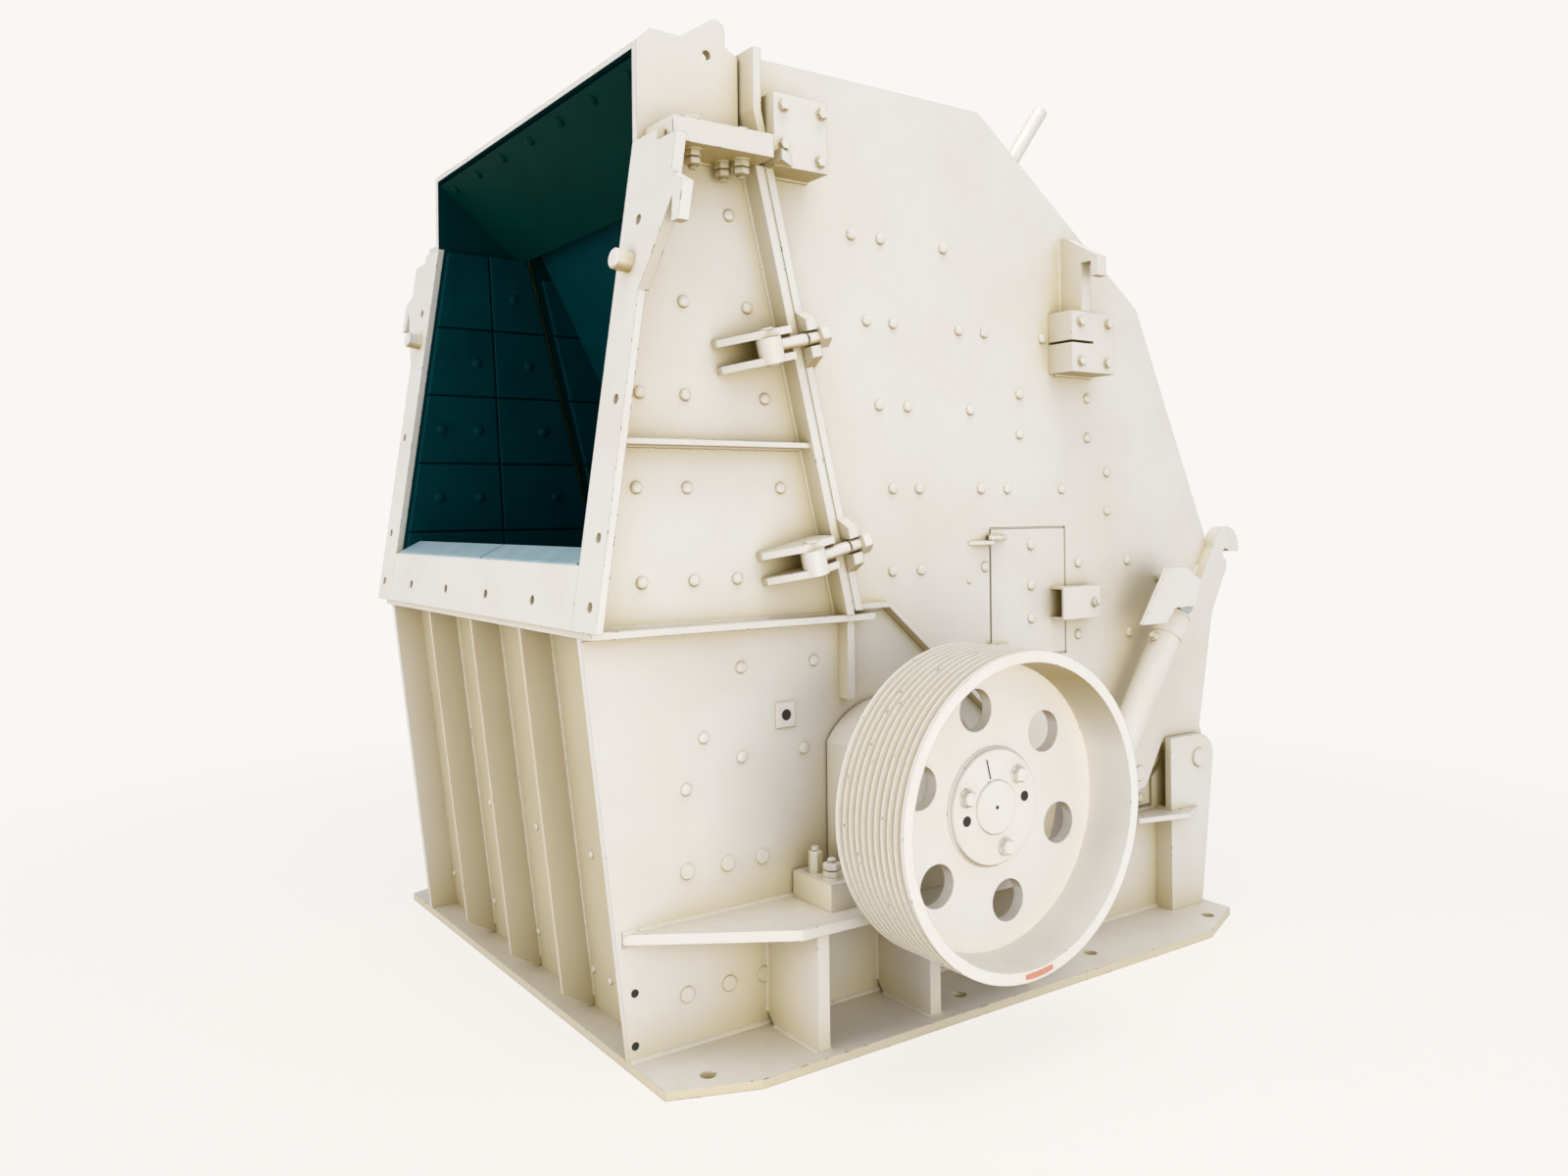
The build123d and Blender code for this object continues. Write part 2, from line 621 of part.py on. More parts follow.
def mouth_sill():
    """Bottom bar of the mouth frame, under the feed plate, with a row of bolt holes."""
    sill = mouth_slab(MOUTH_FOOT_Z, MOUTH_FOOT_Z + MOUTH_SILL, MOUTH_FRAME_THICK, -INNER_HALF, INNER_HALF)
    for step in (-3, -1, 1, 3):
        sill -= mouth_hole(SILL_HOLE_SHIFT + step * SILL_HOLE_PITCH / 2, MOUTH_FOOT_Z + MOUTH_SLOT_LIFT)
    return sill


def tangent_point(point, centre, radius):
    """Where a line from a point touches a circle, on the upper left of it, in X and Z."""
    run = hypot(centre[0] - point[0], centre[1] - point[1])
    heading = atan2(centre[1] - point[1], centre[0] - point[0]) + asin(radius / run)
    reach = sqrt(run ** 2 - radius ** 2)
    return point[0] + reach * cos(heading), point[1] + reach * sin(heading)


def hood_side():
    """Side plate of the hood, rising into a fin with a lifting hole."""
    top = HOOD_SIDE_TOP_Z
    back = split_x(ROOF_Z) - SPLIT_GAP / 2
    lug = (MOUTH_HEAD_X + HOOD_LUG_SETBACK, top + HOOD_LUG_RISE - HOOD_LUG_R)
    foot = (MOUTH_HEAD_X + HOOD_LUG_FOOT, top)
    points = [
        (MOUTH_HEAD_X, MOUTH_HEAD_Z), (MOUTH_HEAD_X, HOOD_TOP_Z), (MOUTH_HEAD_X + HOOD_NOSE, top), foot,
        tangent_point(foot, lug, HOOD_LUG_R), lug, (lug[0] + HOOD_LUG_R, lug[1]), (lug[0] + HOOD_LUG_R, top),
        (back, HOOD_TOP_Z + HOOD_BACK_RISE), (back, MOUTH_HEAD_Z)]
    plate = prism(points, -HALF_WIDTH, -INNER_HALF) + rod_y(*lug, HOOD_LUG_R, -HALF_WIDTH, -INNER_HALF)
    hole = (MOUTH_HEAD_X + HOOD_LUG_HOLE_SETBACK, top - HOOD_LUG_HOLE_DROP)
    return plate - rod_y(*hole, HOOD_LUG_HOLE_D / 2, -HALF_WIDTH - OVERRUN, -INNER_HALF + OVERRUN)


def hood_roof():
    """Roof plate of the hood, over the mouth."""
    back = split_x(ROOF_Z) - SPLIT_GAP / 2
    return block(MOUTH_HEAD_X, back, -INNER_HALF, INNER_HALF, HOOD_TOP_Z - HOOD_ROOF, HOOD_TOP_Z)


def hood_lining():
    """Sloped plate under the hood roof that turns the stone down, from the mouth to the joint."""
    lower = [(HOOD_LINING_FRONT_X, HOOD_LINING_FRONT_Z), (HOOD_LINING_BACK_X, HOOD_LINING_BACK_Z)]
    run = hypot(HOOD_LINING_BACK_X - HOOD_LINING_FRONT_X, HOOD_LINING_BACK_Z - HOOD_LINING_FRONT_Z)
    rise_x = HOOD_LINING * (HOOD_LINING_FRONT_Z - HOOD_LINING_BACK_Z) / run
    rise_z = HOOD_LINING * (HOOD_LINING_BACK_X - HOOD_LINING_FRONT_X) / run
    upper = [(x + rise_x, z + rise_z) for x, z in lower[::-1]]
    return prism(lower + upper, -INNER_HALF, INNER_HALF)


def hood_flange():
    """Pair of level flanges that bolt the hood to the inlet housing."""
    front = MOUTH_HEAD_X + MOUTH_FRAME_THICK + HOOD_FLANGE_GAP
    back = split_x(MOUTH_HEAD_Z + HOOD_FLANGE_THICK) - SPLIT_GAP
    return block(front, back, -HALF_WIDTH - HOOD_FLANGE_OUT, -HALF_WIDTH,
                 MOUTH_HEAD_Z - HOOD_FLANGE_THICK, MOUTH_HEAD_Z + HOOD_FLANGE_THICK)


def side_rib():
    """Level stiffening rib across the inlet side plate."""
    low = SIDE_RIB_Z - SIDE_RIB_THICK / 2
    high = SIDE_RIB_Z + SIDE_RIB_THICK / 2
    back = -SPLIT_GAP / 2 - SPLIT_FLANGE_THICK
    points = [
        (mouth_x(low) + MOUTH_FRAME_THICK, low), (mouth_x(high) + MOUTH_FRAME_THICK, high),
        (split_x(high) + back, high), (split_x(low) + back, low)]
    return prism(points, -HALF_WIDTH - SIDE_RIB_OUT, -HALF_WIDTH)


def split_flange(direction):
    """Flange bar along the joint face, on the inlet side (-1) or on the rear housing up to its roof (+1)."""
    inlet_heights = [DECK_TOP, MOUTH_HEAD_Z - HOOD_FLANGE_THICK]
    rear_heights = [REAR_SILL_Z, SPLIT_HEAD_Z, ROOF_Z]
    heights = inlet_heights if direction < 0 else rear_heights
    near_face = direction * SPLIT_GAP / 2
    far_face = near_face + direction * SPLIT_FLANGE_THICK
    points = [(split_x(z) + near_face, z) for z in heights]
    points += [(split_x(z) + far_face, z) for z in heights[::-1]]
    return prism(points, -HALF_WIDTH - SPLIT_FLANGE_OUT, -HALF_WIDTH)


def rear_split_flange():
    """Rear joint flange with a level ear behind the hood flange, tapered off on the front pivot block."""
    low = MOUTH_HEAD_Z - HOOD_FLANGE_THICK
    front = split_x(low) + SPLIT_GAP / 2
    ear = level_plate([
        (front, -HALF_WIDTH), (front, -HALF_WIDTH - SPLIT_EAR_OUT),
        (front + SPLIT_EAR_LENGTH, -HALF_WIDTH - PIVOT_BLOCK_OUT), (front + SPLIT_EAR_LENGTH, -HALF_WIDTH)],
        low, HOOD_FLANGE_THICK)
    return split_flange(1) + ear


def feed_plate():
    """Sloped plate that carries the feed from the sill towards the rotor."""
    top = MOUTH_FOOT_Z + MOUTH_SILL
    start = mouth_x(top) + MOUTH_FRAME_THICK
    lip = FEED_LIP_Z - FEED_PLATE
    points = [(start, top), (FEED_LIP_X, FEED_LIP_Z), (FEED_LIP_X, lip), (start, top - FEED_PLATE)]
    return prism(points, -INNER_HALF, INNER_HALF)


def inlet_liner():
    """Wear liner on the inner face of the inlet side plate, above the feed plate."""
    low = MOUTH_FOOT_Z + MOUTH_SILL
    high = MOUTH_HEAD_Z - HOOD_FLANGE_THICK
    points = [
        (mouth_x(low) + LINER_EDGE, low), (mouth_x(high) + LINER_EDGE, high),
        (split_x(high) - LINER_EDGE, high), (split_x(low) - LINER_EDGE, low)]
    return prism(points, -INNER_HALF, -INNER_HALF + LINER)


def rotor_shaft():
    """Stepped shaft: thick core, bearing seats and a drive end for the pulley."""
    y_core = INNER_HALF
    shaft = rod_y(SHAFT_X, SHAFT_Z, SHAFT_CORE_D / 2, -y_core, y_core)
    y_seat = HALF_WIDTH + BEARING_STANDOFF + BEARING_WIDTH
    shaft += rod_y(SHAFT_X, SHAFT_Z, SHAFT_SEAT_D / 2, -y_seat - BEARING_CAP_OUT, SHAFT_FREE_END_Y)
    shaft += rod_y(SHAFT_X, SHAFT_Z, SHAFT_DRIVE_D / 2, SHAFT_DRIVE_END_Y, -y_seat)
    return shaft


def blow_bar_outline(play):
    """Outline of a blow bar at the top of the rotor, relative to the shaft, with a wedge-shaped heel."""
    half = BLOW_BAR_THICK / 2 + play
    neck = half * BLOW_BAR_NECK_SHARE
    foot = ROTOR_TIP_R - BLOW_BAR_DEPTH - play
    waist = foot + BLOW_BAR_HEEL + play
    return [
        (-half, ROTOR_TIP_R + play), (-half, waist), (-neck, waist - half), (-half, foot),
        (half, foot), (neck, waist - half), (half, waist), (half, ROTOR_TIP_R + play)]


def turned(points, angle):
    """Points relative to the shaft, turned about it and placed in the machine."""
    c = cos(radians(angle))
    s = sin(radians(angle))
    return [(SHAFT_X + x * c + z * s, SHAFT_Z - x * s + z * c) for x, z in points]


def bar_angles():
    """Angles of the blow bars round the rotor."""
    return [bar * 360 / BLOW_BARS + 360 / BLOW_BARS / 2 for bar in range(BLOW_BARS)]


def rotor_body():
    """Solid rotor with a shaped slot for each blow bar."""
    half = ROTOR_HALF
    body = rod_y(SHAFT_X, SHAFT_Z, ROTOR_R, -half, half)
    body -= rod_y(SHAFT_X, SHAFT_Z, SHAFT_CORE_D / 2 + ROTOR_BORE_PLAY, -half - OVERRUN, half + OVERRUN)
    for angle in bar_angles():
        body -= prism(turned(blow_bar_outline(BLOW_BAR_PLAY), angle), -half - OVERRUN, half + OVERRUN)
    return body


def blow_bars():
    """Blow bars seated in the rotor slots."""
    half = ROTOR_HALF
    outlines = [turned(blow_bar_outline(0), angle) for angle in bar_angles()]
    return Compound(children=[prism(outline, -half, half) for outline in outlines])


def drive_pulley():
    """Grooved pulley: a turned rim, a web set back from the face, lightening holes and a hub."""
    back = PULLEY_FACE_Y + PULLEY_WIDTH
    web_face = PULLEY_FACE_Y + PULLEY_WEB_FACE
    web_back = web_face + PULLEY_WEB
    margin = (PULLEY_WIDTH - PULLEY_GROOVES * GROOVE_PITCH) / 2
    root_r = PULLEY_R - GROOVE_DEPTH
    rim = [(PULLEY_R, PULLEY_FACE_Y)]
    for groove in range(PULLEY_GROOVES):
        middle = PULLEY_FACE_Y + margin + (groove + 1 / 2) * GROOVE_PITCH
        rim += [(PULLEY_R, middle - GROOVE_TOP / 2), (root_r, middle - GROOVE_BOTTOM / 2)]
        rim += [(root_r, middle + GROOVE_BOTTOM / 2), (PULLEY_R, middle + GROOVE_TOP / 2)]
    inner = PULLEY_R - PULLEY_RIM
    hub_end = web_face + PULLEY_HUB_LENGTH
    rim += [
        (PULLEY_R, back), (inner, back), (inner - PULLEY_RIM_TAPER, web_back), (PULLEY_HUB_R, web_back),
        (PULLEY_HUB_R, hub_end), (PULLEY_BUSH_R, hub_end), (PULLEY_BUSH_R, web_face),
        (inner - PULLEY_RIM_TAPER, web_face), (inner, PULLEY_FACE_Y)]
    outline = Polyline(*[(SHAFT_X + r, y, SHAFT_Z) for r, y in rim], close=True)
    axis = Axis((SHAFT_X, 0, SHAFT_Z), (0, 1, 0))
    pulley = revolve(make_face(outline), axis)
    for hole in range(PULLEY_HOLES):
        angle = radians(PULLEY_HOLE_PHASE + hole * 360 / PULLEY_HOLES)
        x = SHAFT_X + PULLEY_HOLE_RING_R * cos(angle)
        z = SHAFT_Z + PULLEY_HOLE_RING_R * sin(angle)
        pulley -= rod_y(x, z, PULLEY_HOLE_R, web_face - OVERRUN, web_back + OVERRUN)
    return pulley


def pulley_bush():
    """Clamping bush between the pulley hub and the shaft."""
    web_face = PULLEY_FACE_Y + PULLEY_WEB_FACE
    hub_end = web_face + PULLEY_HUB_LENGTH
    bush = rod_y(SHAFT_X, SHAFT_Z, PULLEY_BUSH_R, web_face, hub_end)
    return bush - rod_y(SHAFT_X, SHAFT_Z, SHAFT_DRIVE_D / 2, web_face - OVERRUN, hub_end + OVERRUN)


def rear_outline():
    """Outline of the rear housing side plates, in X and Z."""
    front = SPLIT_GAP / 2
    return [
        (split_x(REAR_SILL_Z) + front, REAR_SILL_Z), (split_x(SPLIT_HEAD_Z) + front, SPLIT_HEAD_Z),
        (split_x(SPLIT_HEAD_Z) + front, ROOF_Z), (ROOF_END_X, ROOF_Z), (SHOULDER_X, SHOULDER_Z),
        (BACK_X, BACK_Z), (TAIL_X, TAIL_Z), (KNEE_X, TAIL_Z), (SHIN_X, SHIN_Z), (HEEL_X, HEEL_Z),
        (HEEL_X, REAR_FOOT_Z), (SLOPE_FOOT_X, REAR_FOOT_Z), (SLOPE_TOP_X, REAR_SILL_Z)]


def rear_side():
    """Side plate of the rear housing."""
    return prism(rear_outline(), -HALF_WIDTH, -INNER_HALF)


def door_opening(y_from, y_to, gap):
    """Prism through the inspection door opening, smaller all round by a gap."""
    return block(DOOR_LEFT_X + gap, DOOR_RIGHT_X - gap, y_from, y_to, DOOR_FOOT_Z + gap, DOOR_TOP_Z - gap)


def inset(path, depth):
    """Path moved inwards (to its right) by a depth, with mitred corners."""
    normals = []
    for (x0, z0), (x1, z1) in zip(path, path[1:]):
        run = hypot(x1 - x0, z1 - z0)
        normals.append(((z1 - z0) / run, (x0 - x1) / run))
    ends = [normals[0]] + normals + [normals[-1]]
    moved = []
    for (x, z), before, after in zip(path, ends, ends[1:]):
        reach = depth / (1 + before[0] * after[0] + before[1] * after[1])
        moved.append((x + (before[0] + after[0]) * reach, z + (before[1] + after[1]) * reach))
    return moved


def rear_walls():
    """Roof, slope, upper back, lower back and bent heel plates of the rear housing, between its sides."""
    path = rear_outline()[2:11]
    outer = inset(path, WALL_SETBACK)
    inner = inset(path, WALL_SETBACK + WALL_PLATE)
    outlines = [[outer[i], outer[i + 1], inner[i + 1], inner[i]] for i in range(4)]
    outlines.append(outer[4:] + inner[:3:-1])
    return [prism(outline, -INNER_HALF, INNER_HALF) for outline in outlines]


def hinge_arm():
    """Arm plate on the rear side plate: hinge eye, a leg along the cylinder and a lifting hook at its head."""
    y_in = -HALF_WIDTH
    y_out = y_in - HINGE_ARM
    run_x = ARM_LEFT_X - ARM_LEG_X
    run_z = ARM_HEAD_Z - ARM_LEG_Z
    run = hypot(run_x, run_z)
    leg_left = (ARM_LEG_X - ARM_LEG_R * run_z / run, ARM_LEG_Z + ARM_LEG_R * run_x / run)
    leg_right = (ARM_LEG_X + ARM_LEG_R * run_z / run, ARM_LEG_Z - ARM_LEG_R * run_x / run)
    points = [
        leg_left, (ARM_LEFT_X, ARM_HEAD_Z), (HOOK_X - HOOK_R, HOOK_Z),
        (HOOK_X - HOOK_NOTCH_R, HOOK_Z), (HOOK_X - HOOK_NOTCH_R, ARM_HEAD_Z), (ARM_HEAD_X, ARM_HEAD_Z),
        (ARM_WAIST_X, ARM_WAIST_Z), (TAIL_X, TAIL_Z),
        (HINGE_X + HINGE_EYE_R, HINGE_Z), (HINGE_X - HINGE_EYE_R, HINGE_Z), (ARM_CROTCH_X, ARM_CROTCH_Z),
        leg_right]
    arm = prism(points, y_out, y_in) + rod_y(HINGE_X, HINGE_Z, HINGE_EYE_R, y_out, y_in)
    arm += rod_y(ARM_LEG_X, ARM_LEG_Z, ARM_LEG_R, y_out, y_in)
    notch_z = HOOK_Z - HOOK_NOTCH_DROP
    hook = rod_y(HOOK_X, HOOK_Z, HOOK_R, y_out, y_in)
    hook -= rod_y(HOOK_X, notch_z, HOOK_NOTCH_R, y_out - OVERRUN, y_in + OVERRUN)
    hook -= block(HOOK_X, HOOK_X + HOOK_R + OVERRUN, y_out - OVERRUN, y_in + OVERRUN,
                  HOOK_Z - HOOK_R - OVERRUN, notch_z + HOOK_NOTCH_R / 2)
    arm += hook
    return arm - rod_y(HINGE_X, HINGE_Z, HINGE_PIN_D / 2 + PIN_PLAY, y_out - OVERRUN, y_in + OVERRUN)


def side_hook():
    """Lifting hook plate that stands square out of the rear side plate, with its tip hanging down."""
    root = -HALF_WIDTH
    outer = root - SIDE_HOOK_OUT
    leg = root - SIDE_HOOK_LEG
    tip = outer + SIDE_HOOK_TIP
    foot = REAR_APRON_Z + REAR_BLOCK_HEIGHT / 2
    points = [
        (root, foot), (root, SIDE_HOOK_TOP_Z), (root - SIDE_HOOK_CREST, SIDE_HOOK_TOP_Z),
        (outer, SIDE_HOOK_ARM_Z), (outer, SIDE_HOOK_TIP_Z), (tip, SIDE_HOOK_TIP_Z),
        (tip, SIDE_HOOK_NOTCH_Z), (leg, SIDE_HOOK_NOTCH_Z), (leg, foot)]
    return across(points, SIDE_HOOK_X, SIDE_HOOK_X + SIDE_HOOK_THICK)


def sill_flange():
    """Narrow flange along the sill and the sloped lower edge of the rear side plate."""
    front = split_x(REAR_SILL_Z) + SPLIT_GAP / 2 + SPLIT_FLANGE_THICK
    path = [(SLOPE_FOOT_X, REAR_FOOT_Z), (SLOPE_TOP_X, REAR_SILL_Z), (front, REAR_SILL_Z)]
    return prism(path + inset(path, SILL_FLANGE_THICK)[::-1], -HALF_WIDTH - SILL_FLANGE_OUT, -HALF_WIDTH)


def rear_liner():
    """Wear liner on the inner face of the rear side plate, in front of and above the inspection door."""
    low = REAR_LINER_FOOT_Z
    high = REAR_LINER_TOP_Z
    over_door = DOOR_TOP_Z + LINER_EDGE
    beside_door = DOOR_LEFT_X - LINER_EDGE
    points = [
        (split_x(low) + LINER_EDGE, low), (split_x(high) + LINER_EDGE, high), (REAR_LINER_BACK_X, high),
        (REAR_LINER_BACK_X, over_door), (beside_door, over_door), (beside_door, low)]
    return prism(points, -INNER_HALF, -INNER_HALF + LINER)


def apron(pivot, knee, tip):
    """Hanging apron: a pivot tube and a bent impact plate across the rear housing."""
    half = APRON_HALF
    path = [pivot, knee, tip]
    quad = path + inset(path, APRON_THICK)[::-1]
    body = prism(quad, -half, half) + rod_y(*pivot, APRON_TUBE_R, -half, half)
    return body - rod_y(*pivot, APRON_SHAFT_D / 2 + APRON_SHAFT_PLAY, -half - OVERRUN, half + OVERRUN)


def apron_shaft(pivot):
    """Shaft that an apron hangs on, through both side plates."""
    reach = HALF_WIDTH + PIVOT_BLOCK_OUT / 2
    return rod_y(*pivot, APRON_SHAFT_D / 2, -reach, reach)


def pivot_block(pivot, length, height, slit):
    """Block on the side plate that holds the end of an apron shaft, slit to clamp it where asked."""
    x, z = pivot
    body = block(x - length / 2, x + length / 2, -HALF_WIDTH - PIVOT_BLOCK_OUT, -HALF_WIDTH,
                 z - height / 2, z + height / 2)
    reach = HALF_WIDTH + PIVOT_BLOCK_OUT / 2 + APRON_SHAFT_PLAY
    body -= rod_y(x, z, APRON_SHAFT_D / 2 + APRON_SHAFT_PLAY, -reach, -HALF_WIDTH + OVERRUN)
    if slit:
        body -= block(x - length, x, -HALF_WIDTH - 2 * PIVOT_BLOCK_OUT, -HALF_WIDTH + OVERRUN,
                      z - PIVOT_SLIT / 2, z + PIVOT_SLIT / 2)
    return body


def adjusting_rod(y):
    """Rod that sets the rear apron, standing square on the sloped roof."""
    run_x = SHOULDER_X - ROOF_END_X
    run_z = SHOULDER_Z - ROOF_Z
    run = hypot(run_x, run_z)
    normal = (-run_z / run, run_x / run)
    seat_x = ROOF_END_X + run_x * ROD_RUN_SHARE - normal[0] * WALL_SETBACK
    seat_z = ROOF_Z + run_z * ROD_RUN_SHARE - normal[1] * WALL_SETBACK
    tip = (seat_x + normal[0] * ROD_OUT, seat_z + normal[1] * ROD_OUT)
    tilt = degrees(atan2(normal[0], normal[1]))
    middle = (seat_x + normal[0] * ROD_PLATE / 2, seat_z + normal[1] * ROD_PLATE / 2)
    foot = Pos(middle[0], y, middle[1]) * Rot(0, tilt, 0) * Box(ROD_PLATE_SIZE, ROD_PLATE_SIZE, ROD_PLATE)
    return rod_between((seat_x, seat_z), tip, y, ROD_D / 2) + foot


def clamp_place(z):
    """Place of a clamp: on the joint line at this height, square to the leaning joint."""
    return Pos(split_x(z), 0, z) * Rot(0, degrees(atan2(SPLIT_HEAD_X - SPLIT_FOOT_X, SPLIT_HEAD_Z - DECK_TOP)), 0)


def clamp_bolt_y():
    """Distance of the swing bolts from the middle plane, clear of the joint flange."""
    return -HALF_WIDTH - SPLIT_FLANGE_OUT - CLAMP_NUT / 2


def clamp_rod(x_from, x_to, radius):
    """Round bar along a swing bolt, square to the joint."""
    return Pos((x_from + x_to) / 2, clamp_bolt_y(), 0) * Rot(0, 90, 0) * Cylinder(radius, x_to - x_from)


def clamp_front(z):
    """Front half of a swing bolt clamp: two tapered lug plates on the inlet side plate, an eye and its bolt."""
    y_in = -HALF_WIDTH
    joint = -SPLIT_GAP / 2
    end = joint - SPLIT_FLANGE_THICK - CLAMP_LUG_SETBACK
    start = end - CLAMP_LUG_LENGTH
    eye = end - CLAMP_LUG_LENGTH * CLAMP_EYE_SHARE
    elbow = end - CLAMP_LUG_LENGTH * CLAMP_ELBOW_SHARE
    outline = [
        (start, y_in), (start, y_in - CLAMP_LUG_TOE), (elbow, y_in - CLAMP_LUG_OUT), (end, y_in - CLAMP_LUG_OUT),
        (end, y_in)]
    upper = CLAMP_LUG_SPACING / 2 - CLAMP_LUG_THICK / 2
    lower = -CLAMP_LUG_SPACING / 2 - CLAMP_LUG_THICK / 2
    pieces = level_plate(outline, upper, CLAMP_LUG_THICK) + level_plate(outline, lower, CLAMP_LUG_THICK)
    pieces += Pos(eye, clamp_bolt_y(), (upper + lower) / 2) * Cylinder(CLAMP_EYE_R, upper - lower)
    pieces += clamp_rod(eye, joint, CLAMP_BOLT_D / 2)
    return clamp_place(z) * pieces


def clamp_rear(z):
    """Rear half of a swing bolt clamp: a forked plate over the joint flange with the bolt end and its nut."""
    y_in = -HALF_WIDTH
    y_out = y_in - CLAMP_LUG_OUT
    start = SPLIT_GAP / 2
    end = start + CLAMP_FORK_THICK
    fork = across([
        (y_in, CLAMP_FORK_ROOT), (y_out, CLAMP_FORK_TIP), (y_out, -CLAMP_FORK_TIP), (y_in, -CLAMP_FORK_ROOT)],
        start, end)
    slot_in = clamp_bolt_y() + CLAMP_BOLT_D / 2 + CLAMP_SLOT_PLAY
    slot_half = CLAMP_BOLT_D / 2 + CLAMP_SLOT_PLAY
    fork -= block(start - OVERRUN, end + OVERRUN, y_out - OVERRUN, slot_in, -slot_half, slot_half)
    fork += clamp_rod(end, end + CLAMP_NUT_THICK, CLAMP_NUT / 2)
    fork += clamp_rod(start, end + CLAMP_NUT_THICK, CLAMP_BOLT_D / 2)
    return clamp_place(z) * fork - split_flange(1)


def clamps(half):
    """All four clamp halves of one kind, as separate solids."""
    pieces = [half(z) for z in (CLAMP_UPPER_Z, CLAMP_LOWER_Z)]
    return Compound(children=pieces + [mirror(piece, about=Plane.XZ) for piece in pieces])


def door_hinge_heights():
    """Heights of the middle of the two door hinges."""
    return [DOOR_TOP_Z - DOOR_HINGE_INSET, DOOR_FOOT_Z + DOOR_HINGE_INSET]


def door_axis_x():
    """X of the door hinge pins."""
    return DOOR_LEFT_X - DOOR_HINGE_BACK


def door_ear(direction, z):
    """Level hinge ear upwards from a height, rooted to the left (-1) or to the right (+1) of the pin."""
    x_pin = door_axis_x()
    crest = -HALF_WIDTH - DOOR_HINGE_OUT - DOOR_EYE_R
    reach = direction * DOOR_EAR_LENGTH
    ear = level_plate([
        (x_pin, -HALF_WIDTH), (x_pin, crest), (x_pin + reach * DOOR_EAR_CREST_SHARE, crest),
        (x_pin + reach, -HALF_WIDTH)], z, DOOR_EAR_THICK)
    ear += Pos(x_pin, -HALF_WIDTH - DOOR_HINGE_OUT, z + DOOR_EAR_THICK / 2) * Cylinder(DOOR_EYE_R, DOOR_EAR_THICK)
    return ear


def door_plate():
    """Inspection door plate with the upper ears of its hinges, which clear the side plate beside it."""
    door = door_opening(-HALF_WIDTH, -INNER_HALF, DOOR_GAP)
    x_pin = door_axis_x()
    for z in door_hinge_heights():
        low = z + DOOR_EAR_GAP / 2
        ear = door_ear(1, low)
        ear -= block(x_pin - DOOR_EYE_R, DOOR_LEFT_X + DOOR_GAP,
                     -HALF_WIDTH - DOOR_GAP / 2, -HALF_WIDTH, low, low + DOOR_EAR_THICK)
        bore = Cylinder(DOOR_PIN_R + PIN_PLAY, 2 * DOOR_EAR_THICK)
        door += ear - Pos(x_pin, -HALF_WIDTH - DOOR_HINGE_OUT, low + DOOR_EAR_THICK / 2) * bore
    return door


def door_hinges():
    """Lower ears of the door hinges with their pins."""
    hinges = []
    for z in door_hinge_heights():
        hinge = door_ear(-1, z - DOOR_EAR_GAP / 2 - DOOR_EAR_THICK)
        hinge += Pos(door_axis_x(), -HALF_WIDTH - DOOR_HINGE_OUT, z) * Cylinder(DOOR_PIN_R, 3 * DOOR_EAR_THICK)
        hinges.append(hinge)
    return Compound(children=hinges)


def door_latch():
    """Channel bracket on the door that reaches over its free edge and clears the side plate there."""
    left = DOOR_RIGHT_X - LATCH_OVERLAP
    right = left + LATCH_LENGTH
    low = LATCH_Z - LATCH_HEIGHT / 2
    high = LATCH_Z + LATCH_HEIGHT / 2
    face = -HALF_WIDTH - LATCH_OUT
    latch = block(left, right, face, face + LATCH_THICK, low, high)
    for z in (low, high - LATCH_THICK):
        latch += block(left, right, face, -HALF_WIDTH - LATCH_PLAY, z, z + LATCH_THICK)
        latch += block(left, DOOR_RIGHT_X - DOOR_GAP, face, -HALF_WIDTH, z, z + LATCH_THICK)
    return latch


def cylinder_line():
    """Unit direction of the closed cylinder, from its foot to its head, in X and Z."""
    run = hypot(CYL_HEAD_X - CYL_FOOT_X, CYL_HEAD_Z - CYL_FOOT_Z)
    return (CYL_HEAD_X - CYL_FOOT_X) / run, (CYL_HEAD_Z - CYL_FOOT_Z) / run, run


def cylinder_pin_hole(x, z):
    """Bore through a cylinder eye."""
    half = CYL_EYE_WIDTH / 2 + OVERRUN
    return rod_y(x, z, CYL_PIN_D / 2 + PIN_PLAY, -CYL_Y - half, -CYL_Y + half)


def cylinder_barrel():
    """Barrel of an opening cylinder with its foot eye."""
    dx, dz, run = cylinder_line()
    shown = run - CYL_EYE_R - CYL_ROD_SHOWN
    top = (CYL_FOOT_X + dx * shown, CYL_FOOT_Z + dz * shown)
    neck = CYL_BARREL_R * CYL_EYE_NECK_SHARE
    foot = (CYL_FOOT_X + dx * neck, CYL_FOOT_Z + dz * neck)
    barrel = rod_between(foot, top, -CYL_Y, CYL_BARREL_R)
    half = CYL_EYE_WIDTH / 2
    barrel += rod_y(CYL_FOOT_X, CYL_FOOT_Z, CYL_BARREL_R, -CYL_Y - half, -CYL_Y + half)
    barrel -= rod_between((CYL_FOOT_X + dx * CYL_BARREL_R * 2, CYL_FOOT_Z + dz * CYL_BARREL_R * 2),
                          (top[0] + dx * OVERRUN, top[1] + dz * OVERRUN), -CYL_Y, CYL_ROD_R + CYL_ROD_PLAY)
    return barrel - cylinder_pin_hole(CYL_FOOT_X, CYL_FOOT_Z)


